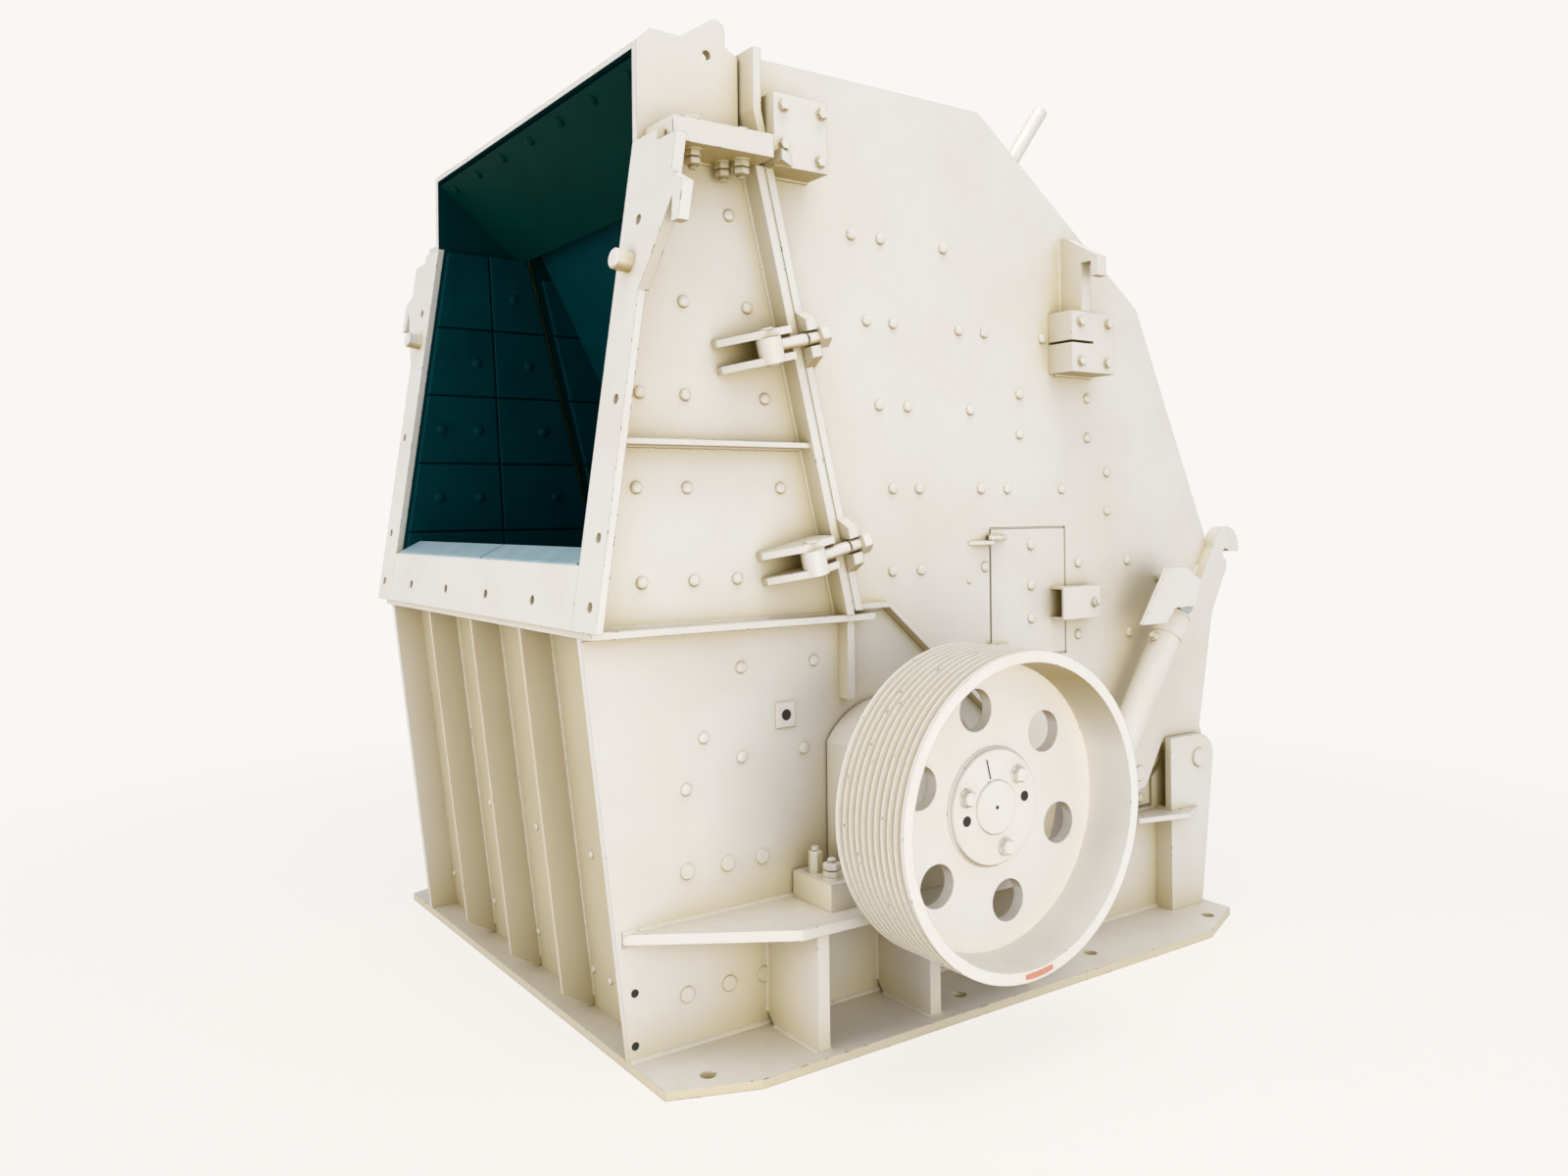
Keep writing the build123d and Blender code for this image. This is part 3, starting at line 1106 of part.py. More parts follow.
def cylinder_rod():
    """Piston rod of an opening cylinder with its head eye."""
    dx, dz, _ = cylinder_line()
    foot = (CYL_FOOT_X + dx * CYL_BARREL_R * 3, CYL_FOOT_Z + dz * CYL_BARREL_R * 3)
    half = CYL_EYE_WIDTH / 2
    rod = rod_between(foot, (CYL_HEAD_X, CYL_HEAD_Z), -CYL_Y, CYL_ROD_R)
    rod += rod_y(CYL_HEAD_X, CYL_HEAD_Z, CYL_EYE_R, -CYL_Y - half, -CYL_Y + half)
    return rod - cylinder_pin_hole(CYL_HEAD_X, CYL_HEAD_Z)


def cylinder_foot_pin():
    """Pin on the lower side plate that the cylinder foot turns on."""
    return rod_y(CYL_FOOT_X, CYL_FOOT_Z, CYL_PIN_D / 2, -CYL_Y - CYL_EYE_WIDTH / 2, -HALF_WIDTH)


def cylinder_bracket():
    """Open-bottomed bracket on the rear side plate: a cheek over the cylinder head on a bent rim."""
    inner = -CYL_Y - max(CYL_EYE_WIDTH / 2, CYL_BARREL_R) - CYL_BRACKET_PLAY
    top = CYL_HEAD_Z + CYL_BRACKET_TOP
    foot = CYL_HEAD_Z - CYL_BRACKET_DROP
    notch = CYL_HEAD_Z - CYL_NOTCH_DROP
    right = CYL_HEAD_X + CYL_BRACKET_RIGHT
    rim = [
        (CYL_HEAD_X - CYL_BRACKET_LEFT, top),
        (right - CYL_BRACKET_CHAMFER - CYL_BRACKET_PLATE, top), (right, top - CYL_BRACKET_CHAMFER)]
    cheek = rim + [
        (right - CYL_BRACKET_CHAMFER / 2, notch), (CYL_HEAD_X - CYL_NOTCH_STEP, notch),
        (CYL_HEAD_X - CYL_NOTCH_LEFT, foot), (CYL_HEAD_X - CYL_BRACKET_SKIRT, foot)]
    bracket = prism(cheek, inner - CYL_BRACKET_PLATE, inner)
    return bracket + prism(rim + inset(rim, CYL_BRACKET_PLATE)[::-1], inner, -HALF_WIDTH)


def rear_sides():
    """Both rear side plates, bored for the apron shafts, the near one cut out for the door."""
    plate = rear_side()
    for pivot in (FRONT_PIVOT, REAR_PIVOT):
        hole = APRON_SHAFT_D / 2 + APRON_SHAFT_PLAY
        plate -= rod_y(*pivot, hole, -HALF_WIDTH - OVERRUN, -INNER_HALF + OVERRUN)
    near = plate - door_opening(-HALF_WIDTH - OVERRUN, -INNER_HALF + OVERRUN, 0)
    return Compound(children=[near, mirror(plate, about=Plane.XZ)])


def build():
    """All sub-parts by node name."""
    roof, slope, upper_back, lower_back, heel = rear_walls()
    front_block = pivot_block(FRONT_PIVOT, FRONT_BLOCK_LENGTH, FRONT_BLOCK_HEIGHT, False)
    front_knee = (FRONT_APRON_KNEE_X, FRONT_APRON_KNEE_Z)
    front_tip = (FRONT_APRON_TIP_X, FRONT_APRON_TIP_Z)
    rear_knee = (REAR_APRON_KNEE_X, REAR_APRON_KNEE_Z)
    rear_tip = (REAR_APRON_TIP_X, REAR_APRON_TIP_Z)
    return {
        "base_flange_sides": both_sides(base_side_strip()),
        "base_flange_ends": base_end_strips(),
        "lower_sides": both_sides(lower_side()),
        "lower_front_wall": lower_front_wall(),
        "front_wall_ribs": front_ribs(),
        "lower_rear_wall": lower_rear_wall(),
        "deck_flanges": Compound(children=[deck_front_flange(), both_sides(deck_flange())]),
        "bearing_shelves": both_sides(bearing_shelf()),
        "shelf_gussets": both_sides(shelf_gussets()),
        "bearing_blocks": Compound(children=[bearing_block(True), on_side(bearing_block(False), FAR)]),
        "hinge_posts": both_sides(hinge_post()),
        "hinge_pins": both_sides(hinge_pin()),
        "cylinder_foot_pins": both_sides(cylinder_foot_pin()),
        "mouth_bars": both_sides(mouth_side_bar()),
        "mouth_sill": mouth_sill(),
        "inlet_sides": both_sides(inlet_side()),
        "side_ribs": Compound(children=[both_sides(side_rib()), both_sides(bridge_rib())]),
        "front_split_flanges": both_sides(split_flange(-1)),
        "feed_plate": feed_plate(),
        "inlet_liners": both_sides(inlet_liner()),
        "hood_sides": both_sides(hood_side()),
        "hood_roof": hood_roof(),
        "hood_lining": hood_lining(),
        "hood_flanges": both_sides(hood_flange()),
        "clamp_bolts": clamps(clamp_front),
        "rotor_shaft": rotor_shaft(),
        "rotor_body": rotor_body(),
        "blow_bars": blow_bars(),
        "drive_pulley": drive_pulley(),
        "pulley_bush": pulley_bush(),
        "rear_sides": rear_sides(),
        "rear_roof": roof,
        "rear_slope": slope,
        "rear_upper_back": upper_back,
        "rear_lower_back": lower_back,
        "rear_heel": heel,
        "rear_split_flanges": both_sides(rear_split_flange()),
        "sill_flanges": both_sides(sill_flange()),
        "rear_liners": both_sides(rear_liner()),
        "hinge_arms": both_sides(hinge_arm()),
        "side_hooks": both_sides(side_hook()),
        "clamp_ears": clamps(clamp_rear),
        "front_apron": apron(FRONT_PIVOT, front_knee, front_tip),
        "rear_apron": apron(REAR_PIVOT, rear_knee, rear_tip),
        "apron_shafts": Compound(children=[apron_shaft(FRONT_PIVOT), apron_shaft(REAR_PIVOT)]),
        "apron_pivot_blocks": Compound(children=[
            both_sides(front_block - rear_split_flange()),
            both_sides(pivot_block(REAR_PIVOT, REAR_BLOCK_LENGTH, REAR_BLOCK_HEIGHT, True))]),
        "adjusting_rods": Compound(children=[adjusting_rod(-ROD_Y), adjusting_rod(ROD_Y)]),
        "cylinder_brackets": both_sides(cylinder_bracket()),
        "inspection_door": door_plate(),
        "door_hinges": door_hinges(),
        "door_latch": door_latch(),
        "cylinder_barrel_near": cylinder_barrel(),
        "cylinder_barrel_far": on_side(cylinder_barrel(), FAR),
        "cylinder_rod_near": cylinder_rod(),
        "cylinder_rod_far": on_side(cylinder_rod(), FAR),
    }


os.makedirs("parts", exist_ok=True)
for node, shape in build().items():
    export_step(shape, f"parts/{node}.step")
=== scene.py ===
"""Looks of the horizontal shaft impact crusher: finishes, fasteners, welds, liners, studio and camera.

Lengths in the classes are millimetres in the frame of the part (+X to the hinged rear, pulley on -Y, +Z up).
Every solid is shaped in millimetres and turned into metres once, when its piece is made.
"""
import logging
import math
from collections.abc import Iterable, Sequence
from dataclasses import dataclass, field
from enum import Enum

import bmesh
import bpy
from mathutils import Matrix, Vector


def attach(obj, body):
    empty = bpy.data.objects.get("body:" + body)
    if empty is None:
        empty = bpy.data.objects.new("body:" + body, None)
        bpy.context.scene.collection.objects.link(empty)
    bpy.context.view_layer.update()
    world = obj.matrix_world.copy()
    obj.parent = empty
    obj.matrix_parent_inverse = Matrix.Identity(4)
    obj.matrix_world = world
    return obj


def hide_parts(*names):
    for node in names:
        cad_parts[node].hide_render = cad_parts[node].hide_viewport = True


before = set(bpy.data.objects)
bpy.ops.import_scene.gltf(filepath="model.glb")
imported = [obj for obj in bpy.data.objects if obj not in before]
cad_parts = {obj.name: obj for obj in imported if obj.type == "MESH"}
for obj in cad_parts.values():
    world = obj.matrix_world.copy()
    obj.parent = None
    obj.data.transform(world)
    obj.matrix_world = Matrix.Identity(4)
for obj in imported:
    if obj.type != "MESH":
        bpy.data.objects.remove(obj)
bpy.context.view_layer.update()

LOG = logging.getLogger("impact_crusher")
METRES_PER_MM = 0.001
Point = tuple[float, float, float]
Flat = tuple[float, float]
Profile = tuple[Flat, ...]
Rows = tuple[tuple[float, ...], ...]
RowsByHeight = tuple[tuple[float, tuple[float, ...]], ...]
UP, DOWN = (0.0, 0.0, 1.0), (0.0, 0.0, -1.0)
REARWARD, FORWARD = (1.0, 0.0, 0.0), (-1.0, 0.0, 0.0)
SEAT_DEPTH = -1.0  # height of a fitting's foot, just below the face that it stands on
LEAST_BEND = 0.2  # keeps a very sharp corner from running away when an outline is drawn in
MOUTH_RIM_WIDTH, MOUTH_RIM_HEIGHT = 2.0, 0.2  # sloped rim of a hole mouth


class Side(Enum):
    """The two long sides of the machine, by the sign of Y."""

    NEAR = -1
    FAR = 1


class Inside(Enum):
    """Which faces of a node carry the interior paint."""

    NONE = "no face"
    SIDE_PLATE = "faces towards the middle plane, below the hood roof"
    LOWER_SIDE = "faces towards the middle plane, between the front and rear walls"
    REAR_SIDE = "faces towards the middle plane, inside the roof and back plates"
    WALL = "faces towards the middle of the housing"

    def limits(self) -> tuple[tuple[Point, float], ...]:
        """Planes that the interior paint ends at.

        Returns:
            Outward direction and reach along it, in metres, of each plane.
        """
        planes = {
            Inside.SIDE_PLATE: (((0.0, 0.0, 1.0), 2.735),),
            Inside.LOWER_SIDE: (((-1.0, 0.0, -0.1133), 1.07), ((1.0, 0.0, 0.0), 0.955)),
            Inside.REAR_SIDE: (
                ((0.0, 0.0, 1.0), 2.758), ((0.5954, 0.0, 0.8035), 2.2885), ((0.9068, 0.0, 0.4214), 1.73),
                ((0.9869, 0.0, -0.1613), 1.05), ((0.5499, 0.0, -0.8353), 0.079))}
        return planes.get(self, ())


class Head(Enum):
    """Kinds of fastener seen on the machine."""

    LINER_BOLT = "low chamfered round head"
    HEX_NUT = "hex nut on a washer with the stud end showing"
    HEX_BOLT = "hex head bolt"
    PLUG = "flush round plug"
    TALL_STUD = "stud with two hex nuts"


class Slot(Enum):
    """Material slots of the record."""

    PAINT = "cream_paint"
    INTERIOR = "interior_paint"
    IRON = "wear_iron"


class Body(Enum):
    """Bodies of the part that the pieces move with."""

    FIXED = "fixed_housing"
    REAR = "rear_housing"
    ROTOR = "rotor"
    DOOR = "inspection_door"
    BARREL_NEAR = "cylinder_barrel_near"
    BARREL_FAR = "cylinder_barrel_far"


# ------------------------------------------------------------------------------------------ finishes


def linear(colour: str) -> tuple[float, float, float, float]:
    """Turns an sRGB hex colour into linear RGBA.

    Args:
        colour: Colour as "#RRGGBB".

    Returns:
        Linear red, green, blue and an alpha of one.
    """
    parts = [int(colour[i:i + 2], 16) / 255 for i in (1, 3, 5)]
    red, green, blue = [c / 12.92 if c <= 0.04045 else ((c + 0.055) / 1.055) ** 2.4 for c in parts]
    return red, green, blue, 1.0


def per_mm(size: float) -> float:
    """Texture scale whose features are a size in millimetres across."""
    return 1.0 / (size * METRES_PER_MM)


def add_node(tree: bpy.types.NodeTree, kind: str, settings: dict | None = None,
             inputs: dict | None = None) -> bpy.types.bpy_prop_collection:
    """Adds a shader node with its settings, and sets or links its inputs.

    Args:
        tree: Node tree that gets the node.
        kind: Blender's name of the node type, without the "ShaderNode" before it.
        settings: Attributes of the node.
        inputs: Values or output sockets by input name or index.

    Returns:
        Output sockets of the new node.
    """
    node = tree.nodes.new("ShaderNode" + kind)
    for key, value in (settings or {}).items():
        setattr(node, key, value)
    for key, value in (inputs or {}).items():
        if isinstance(value, bpy.types.NodeSocket):
            tree.links.new(value, node.inputs[key])
        else:
            node.inputs[key].default_value = value
    return node.outputs


def blank_material(name: str) -> tuple[bpy.types.Material, bpy.types.NodeTree]:
    """Makes an empty node material.

    Args:
        name: Name of the material.

    Returns:
        The material and its node tree.
    """
    material = bpy.data.materials.new(name)
    material.use_nodes = True
    material.node_tree.nodes.clear()
    return material, material.node_tree


@dataclass(frozen=True)
class SprayedEnamel:
    """Alkyd enamel sprayed over welded and shot-blasted steel plate."""

    # Satin cream with a faint cloudy tone, soft sprayed-over edges, tan dust on faces that look up, painted shade in
    # corners, in recesses and on faces that look down, and dark primer where an edge was knocked.
    name: str = "cream_enamel_sprayed"
    inside: Inside = Inside.NONE
    colour: str = "#E7E5E2"
    cloud_colour: str = "#E3DFD9"
    dust_colour: str = "#DDD5C3"
    # Tones of painted shade: in corners, on faces that look down, and in recesses.
    corner_shade_colour: str = "#D5C8A2"
    underside_shade_colour: str = "#A58B3C"
    recess_shade_colour: str = "#A68C22"
    primer_colour: str = "#3B3833"
    interior_colour: str = "#00393A"
    interior_cloud: str = "#00272B"
    roughness: float = 0.43
    gloss_range: Flat = (0.3, 0.7)
    gloss_swing: Flat = (-0.05, 0.08)
    ior: float = 1.5
    gleam: float = 0.5
    interior_gleam: float = 0.04
    cloud_mm: float = 340.0
    cloud_range: Flat = (0.35, 0.7)
    wave_mm: float = 120.0
    wave_strength: float = 0.06
    wave_depth_mm: float = 4.0
    peel_mm: float = 14.0  # real orange peel is 2 to 4 mm, drawn coarser so that it shows at this distance
    peel_strength: float = 0.08
    peel_depth_mm: float = 0.8
    edge_mm: float = 5.0
    edge_turn: Flat = (0.985, 0.93)  # cosine between the flat and the rounded normal, where chips start and are full
    chip_mm: float = 26.0
    chip_level: float = 0.665
    chip_fade: float = 0.02
    dust_mm: float = 60.0
    dust_share: float = 0.5
    dust_patch: Flat = (0.42, 0.72)
    dust_slope: Flat = (0.6, 1.0)  # upward part of the normal, where dust starts to lie and lies fully
    # Reach and limits of the painted shade, which is eased on faces that look up.
    corner_mm: float = 230.0
    corner_open: Flat = (0.84, 0.36)  # open share of the view, where the corner tone starts and is full
    upward_ease_slope: Flat = (0.3, 0.9)
    upward_ease_share: float = 0.35
    under_slope: Flat = (-0.3, -0.85)
    under_share: float = 0.9
    recess_open: Flat = (0.33, 0.08)
    housing_centre: Point = (0.0, 0.0, 1.4)
    inner_margin: float = -0.02

    def material(self) -> bpy.types.Material:
        """Builds the paint.

        Returns:
            The node material.
        """
        material, tree = blank_material(self.name)
        rest = add_node(tree, "TexCoord")
        place, facing = rest["Object"], rest["Normal"]
        cloud = add_node(tree, "TexNoise", inputs={
            "Vector": place, "Scale": per_mm(self.cloud_mm), "Detail": 4.0, "Roughness": 0.6})["Fac"]
        spread = add_node(tree, "MapRange", inputs={
            "Value": cloud, "From Min": self.cloud_range[0], "From Max": self.cloud_range[1]})["Result"]
        paint = add_node(tree, "Mix", {"data_type": "RGBA"}, {
            "Factor": spread, "A": linear(self.colour), "B": linear(self.cloud_colour)})["Result"]
        # Painted shade goes into the colour here.
        colour = self._shaded(tree, facing, self._dusted(tree, place, facing, paint))
        rounded = add_node(tree, "Bevel", {"samples": 4}, {"Radius": self.edge_mm * METRES_PER_MM})["Normal"]
        colour = self._chipped(tree, place, rounded, colour)
        gleam = self.gleam
        if self.inside is not Inside.NONE:
            inner = self._inner_faces(tree, place, facing)
            dark = add_node(tree, "Mix", {"data_type": "RGBA"}, {
                "Factor": cloud, "A": linear(self.interior_colour), "B": linear(self.interior_cloud)})["Result"]
            colour = add_node(tree, "Mix", {"data_type": "RGBA"}, {"Factor": inner, "A": colour, "B": dark})["Result"]
            gleam = add_node(tree, "MapRange", inputs={
                "Value": inner, "To Min": self.gleam, "To Max": self.interior_gleam})["Result"]
        gloss = add_node(tree, "MapRange", inputs={
            "Value": cloud, "From Min": self.gloss_range[0], "From Max": self.gloss_range[1],
            "To Min": self.roughness + self.gloss_swing[0], "To Max": self.roughness + self.gloss_swing[1]})["Result"]
        shader = add_node(tree, "BsdfPrincipled", inputs={
            "Base Color": colour, "Roughness": gloss, "IOR": self.ior, "Specular IOR Level": gleam,
            "Normal": self._uneven(tree, place, rounded)})
        add_node(tree, "OutputMaterial", inputs={"Surface": shader["BSDF"]})
        return material

    def _uneven(self, tree: bpy.types.NodeTree, place: bpy.types.NodeSocket,
                rounded: bpy.types.NodeSocket) -> bpy.types.NodeSocket:
        """Gives the plate its slight waves and the paint its orange peel.

        Args:
            tree: Node tree of the paint.
            place: Place on the machine.
            rounded: Normal rounded near edges.

        Returns:
            Normal of the uneven surface.
        """
        normal = rounded
        for size, detail, strength, depth in (
                (self.wave_mm, 1.0, self.wave_strength, self.wave_depth_mm),
                (self.peel_mm, 2.0, self.peel_strength, self.peel_depth_mm)):
            height = add_node(tree, "TexNoise", inputs={
                "Vector": place, "Scale": per_mm(size), "Detail": detail})["Fac"]
            normal = add_node(tree, "Bump", inputs={
                "Strength": strength, "Distance": depth * METRES_PER_MM, "Height": height, "Normal": normal})["Normal"]
        return normal

    def _dusted(self, tree: bpy.types.NodeTree, place: bpy.types.NodeSocket, facing: bpy.types.NodeSocket,
                paint: bpy.types.NodeSocket) -> bpy.types.NodeSocket:
        """Lays thin patches of stone dust on faces that look up.

        Args:
            tree: Node tree of the paint.
            place: Place on the machine.
            facing: Face normal in the same frame.
            paint: Colour below the dust.

        Returns:
            Colour with the dust on it.
        """
        up = add_node(tree, "SeparateXYZ", inputs={"Vector": facing})["Z"]
        speck = add_node(tree, "TexNoise", inputs={
            "Vector": place, "Scale": per_mm(self.dust_mm), "Detail": 6.0, "Roughness": 0.7})["Fac"]
        lying = add_node(tree, "MapRange", inputs={
            "Value": up, "From Min": self.dust_slope[0], "From Max": self.dust_slope[1],
            "To Max": self.dust_share})["Result"]
        patch = add_node(tree, "MapRange", inputs={
            "Value": speck, "From Min": self.dust_patch[0], "From Max": self.dust_patch[1]})["Result"]
        amount = add_node(tree, "Math", {"operation": "MULTIPLY"}, {0: lying, 1: patch})[0]
        return add_node(tree, "Mix", {"data_type": "RGBA"}, {
            "Factor": amount, "A": paint, "B": linear(self.dust_colour)})["Result"]

    def _shaded(self, tree: bpy.types.NodeTree, facing: bpy.types.NodeSocket,
                 paint: bpy.types.NodeSocket) -> bpy.types.NodeSocket:
        """Paints shade into corners, into recesses and on faces that look down, as tan and olive tones in the colour.

        Args:
            tree: Node tree of the paint.
            facing: Face normal in the frame of the machine.
            paint: Colour of open faces.

        Returns:
            Colour with the painted shade in it.
        """
        # Painted shade: tan in corners, olive on faces that look down, deeper olive in recesses.
        openness = add_node(tree, "AmbientOcclusion", {"samples": 6}, {
            "Distance": self.corner_mm * METRES_PER_MM})["AO"]
        up = add_node(tree, "SeparateXYZ", inputs={"Vector": facing})["Z"]
        under = add_node(tree, "MapRange", inputs={
            "Value": up, "From Min": self.under_slope[0], "From Max": self.under_slope[1],
            "To Max": self.under_share})["Result"]
        sheltered = add_node(tree, "MapRange", inputs={
            "Value": openness, "From Min": self.corner_open[0], "From Max": self.corner_open[1]})["Result"]
        upward_ease = add_node(tree, "MapRange", inputs={
            "Value": up, "From Min": self.upward_ease_slope[0], "From Max": self.upward_ease_slope[1],
            "To Min": 1.0, "To Max": self.upward_ease_share})["Result"]
        near = add_node(tree, "Math", {"operation": "MULTIPLY"}, {0: sheltered, 1: upward_ease})[0]
        recess = add_node(tree, "MapRange", inputs={
            "Value": openness, "From Min": self.recess_open[0], "From Max": self.recess_open[1]})["Result"]
        for amount, tone in ((near, self.corner_shade_colour), (under, self.underside_shade_colour), (recess, self.recess_shade_colour)):
            paint = add_node(tree, "Mix", {"data_type": "RGBA"}, {
                "Factor": amount, "A": paint, "B": linear(tone)})["Result"]
        return paint

    def _chipped(self, tree: bpy.types.NodeTree, place: bpy.types.NodeSocket, rounded: bpy.types.NodeSocket,
                 paint: bpy.types.NodeSocket) -> bpy.types.NodeSocket:
        """Knocks small chips down to the dark primer along plate edges.

        Args:
            tree: Node tree of the paint.
            place: Place on the machine.
            rounded: Normal rounded near edges.
            paint: Colour of whole paint.

        Returns:
            Colour with the chips in it.
        """
        face = add_node(tree, "NewGeometry")["Normal"]
        turn = add_node(tree, "VectorMath", {"operation": "DOT_PRODUCT"}, {0: face, 1: rounded})["Value"]
        edge = add_node(tree, "MapRange", inputs={
            "Value": turn, "From Min": self.edge_turn[0], "From Max": self.edge_turn[1]})["Result"]
        knock = add_node(tree, "TexNoise", inputs={
            "Vector": place, "Scale": per_mm(self.chip_mm), "Detail": 3.0, "Roughness": 0.55})["Fac"]
        lost = add_node(tree, "MapRange", inputs={
            "Value": knock, "From Min": self.chip_level, "From Max": self.chip_level + self.chip_fade})["Result"]
        amount = add_node(tree, "Math", {"operation": "MULTIPLY"}, {0: edge, 1: lost})[0]
        return add_node(tree, "Mix", {"data_type": "RGBA"}, {
            "Factor": amount, "A": paint, "B": linear(self.primer_colour)})["Result"]

    def _inner_faces(self, tree: bpy.types.NodeTree, place: bpy.types.NodeSocket,
                     facing: bpy.types.NodeSocket) -> bpy.types.NodeSocket:
        """Finds the faces that look into the housing and carry the dark interior paint.

        Args:
            tree: Node tree of the paint.
            place: Place on the machine.
            facing: Face normal in the same frame.

        Returns:
            One on inner faces and zero on outer ones.
        """
        keep = (1.0, 1.0, 1.0) if self.inside is Inside.WALL else (0.0, 1.0, 0.0)
        away = add_node(tree, "VectorMath", {"operation": "SUBTRACT"}, {0: place, 1: self.housing_centre})["Vector"]
        masked = add_node(tree, "VectorMath", {"operation": "MULTIPLY"}, {0: away, 1: keep})["Vector"]
        outward_share = add_node(tree, "VectorMath", {"operation": "DOT_PRODUCT"}, {0: masked, 1: facing})["Value"]
        inner = add_node(tree, "Math", {"operation": "LESS_THAN"}, {0: outward_share, 1: self.inner_margin})[0]
        for direction, limit in self.inside.limits():
            reach = add_node(tree, "VectorMath", {"operation": "DOT_PRODUCT"}, {0: place, 1: direction})["Value"]
            within = add_node(tree, "Math", {"operation": "LESS_THAN"}, {0: reach, 1: limit})[0]
            inner = add_node(tree, "Math", {"operation": "MULTIPLY"}, {0: inner, 1: within})[0]
        return inner


@dataclass(frozen=True)
class InteriorEnamel:
    """Dark green primer rolled on the wear plates and aprons inside."""

    # Deep teal that swallows light, with paler scuffs where plates were slid into place.
    name: str = "interior_green_primer"
    colour: str = "#00444A"
    deep_colour: str = "#002E36"
    scuff_colour: str = "#1D524E"
    roughness: float = 0.6
    ior: float = 1.5
    gleam: float = 0.04
    cloud_mm: float = 180.0
    scuff_mm: float = 22.0
    scuff_stretch: Point = (0.25, 1.0, 1.0)
    scuff_range: Flat = (0.6, 0.8)
    scuff_share: float = 0.5
    scuff_strength: float = 0.15
    scuff_depth_mm: float = 1.0
    edge_mm: float = 4.0

    def material(self) -> bpy.types.Material:
        """Builds the primer.

        Returns:
            The node material.
        """
        material, tree = blank_material(self.name)
        place = add_node(tree, "TexCoord")["Object"]
        cloud = add_node(tree, "TexNoise", inputs={
            "Vector": place, "Scale": per_mm(self.cloud_mm), "Detail": 4.0})["Fac"]
        paint = add_node(tree, "Mix", {"data_type": "RGBA"}, {
            "Factor": cloud, "A": linear(self.colour), "B": linear(self.deep_colour)})["Result"]
        drawn = add_node(tree, "Mapping", inputs={"Vector": place, "Scale": self.scuff_stretch})["Vector"]
        rub = add_node(tree, "TexNoise", inputs={
            "Vector": drawn, "Scale": per_mm(self.scuff_mm), "Detail": 5.0, "Roughness": 0.7})["Fac"]
        scuff = add_node(tree, "MapRange", inputs={
            "Value": rub, "From Min": self.scuff_range[0], "From Max": self.scuff_range[1],
            "To Max": self.scuff_share})["Result"]
        colour = add_node(tree, "Mix", {"data_type": "RGBA"}, {
            "Factor": scuff, "A": paint, "B": linear(self.scuff_colour)})["Result"]
        rounded = add_node(tree, "Bevel", {"samples": 4}, {"Radius": self.edge_mm * METRES_PER_MM})["Normal"]
        normal = add_node(tree, "Bump", inputs={
            "Strength": self.scuff_strength, "Distance": self.scuff_depth_mm * METRES_PER_MM, "Height": rub,
            "Normal": rounded})["Normal"]
        shader = add_node(tree, "BsdfPrincipled", inputs={
            "Base Color": colour, "Roughness": self.roughness, "IOR": self.ior, "Specular IOR Level": self.gleam,
            "Normal": normal})
        add_node(tree, "OutputMaterial", inputs={"Surface": shader["BSDF"]})
        return material


@dataclass(frozen=True)
class BareMetal:
    """Uncoated metal: cast, rolled or ground, as its values say."""

    name: str
    colour: str
    stain_colour: str
    roughness: float
    grain_mm: float
    stretch: Point = (1.0, 1.0, 1.0)
    bump: float = 0.2
    bump_depth_mm: float = 1.0
    stain_range: Flat = (0.35, 0.7)
    gloss_range: Flat = (0.3, 0.7)
    gloss_swing: Flat = (0.8, 1.25)

    def material(self) -> bpy.types.Material:
        """Builds the metal.

        Returns:
            The node material.
        """
        material, tree = blank_material(self.name)
        place = add_node(tree, "TexCoord")["Object"]
        drawn = add_node(tree, "Mapping", inputs={"Vector": place, "Scale": self.stretch})["Vector"]
        grain = add_node(tree, "TexNoise", inputs={
            "Vector": drawn, "Scale": per_mm(self.grain_mm), "Detail": 5.0, "Roughness": 0.65})["Fac"]
        stain = add_node(tree, "MapRange", inputs={
            "Value": grain, "From Min": self.stain_range[0], "From Max": self.stain_range[1]})["Result"]
        colour = add_node(tree, "Mix", {"data_type": "RGBA"}, {
            "Factor": stain, "A": linear(self.colour), "B": linear(self.stain_colour)})["Result"]
        gloss = add_node(tree, "MapRange", inputs={
            "Value": grain, "From Min": self.gloss_range[0], "From Max": self.gloss_range[1],
            "To Min": self.roughness * self.gloss_swing[0], "To Max": self.roughness * self.gloss_swing[1]})["Result"]
        normal = add_node(tree, "Bump", inputs={
            "Strength": self.bump, "Distance": self.bump_depth_mm * METRES_PER_MM, "Height": grain})["Normal"]
        shader = add_node(tree, "BsdfPrincipled", inputs={
            "Base Color": colour, "Metallic": 1.0, "Roughness": gloss, "Normal": normal})
        add_node(tree, "OutputMaterial", inputs={"Surface": shader["BSDF"]})
        return material


@dataclass(frozen=True)
class DullCoat:
    """Matt coat of one colour with a little mottling: the pale blue of the wear bars, marking paint, or the painted
    shade in a drilled hole.
    """

    name: str
    colour: str
    mottle_colour: str
    roughness: float = 0.7
    mottle_mm: float = 12.0

    def material(self) -> bpy.types.Material:
        """Builds the coat.

        Returns:
            The node material.
        """
        material, tree = blank_material(self.name)
        place = add_node(tree, "TexCoord")["Object"]
        mottle = add_node(tree, "TexNoise", inputs={
            "Vector": place, "Scale": per_mm(self.mottle_mm), "Detail": 3.0})["Fac"]
        colour = add_node(tree, "Mix", {"data_type": "RGBA"}, {
            "Factor": mottle, "A": linear(self.colour), "B": linear(self.mottle_colour)})["Result"]
        shader = add_node(tree, "BsdfPrincipled", inputs={"Base Color": colour, "Roughness": self.roughness})
        add_node(tree, "OutputMaterial", inputs={"Surface": shader["BSDF"]})
        return material


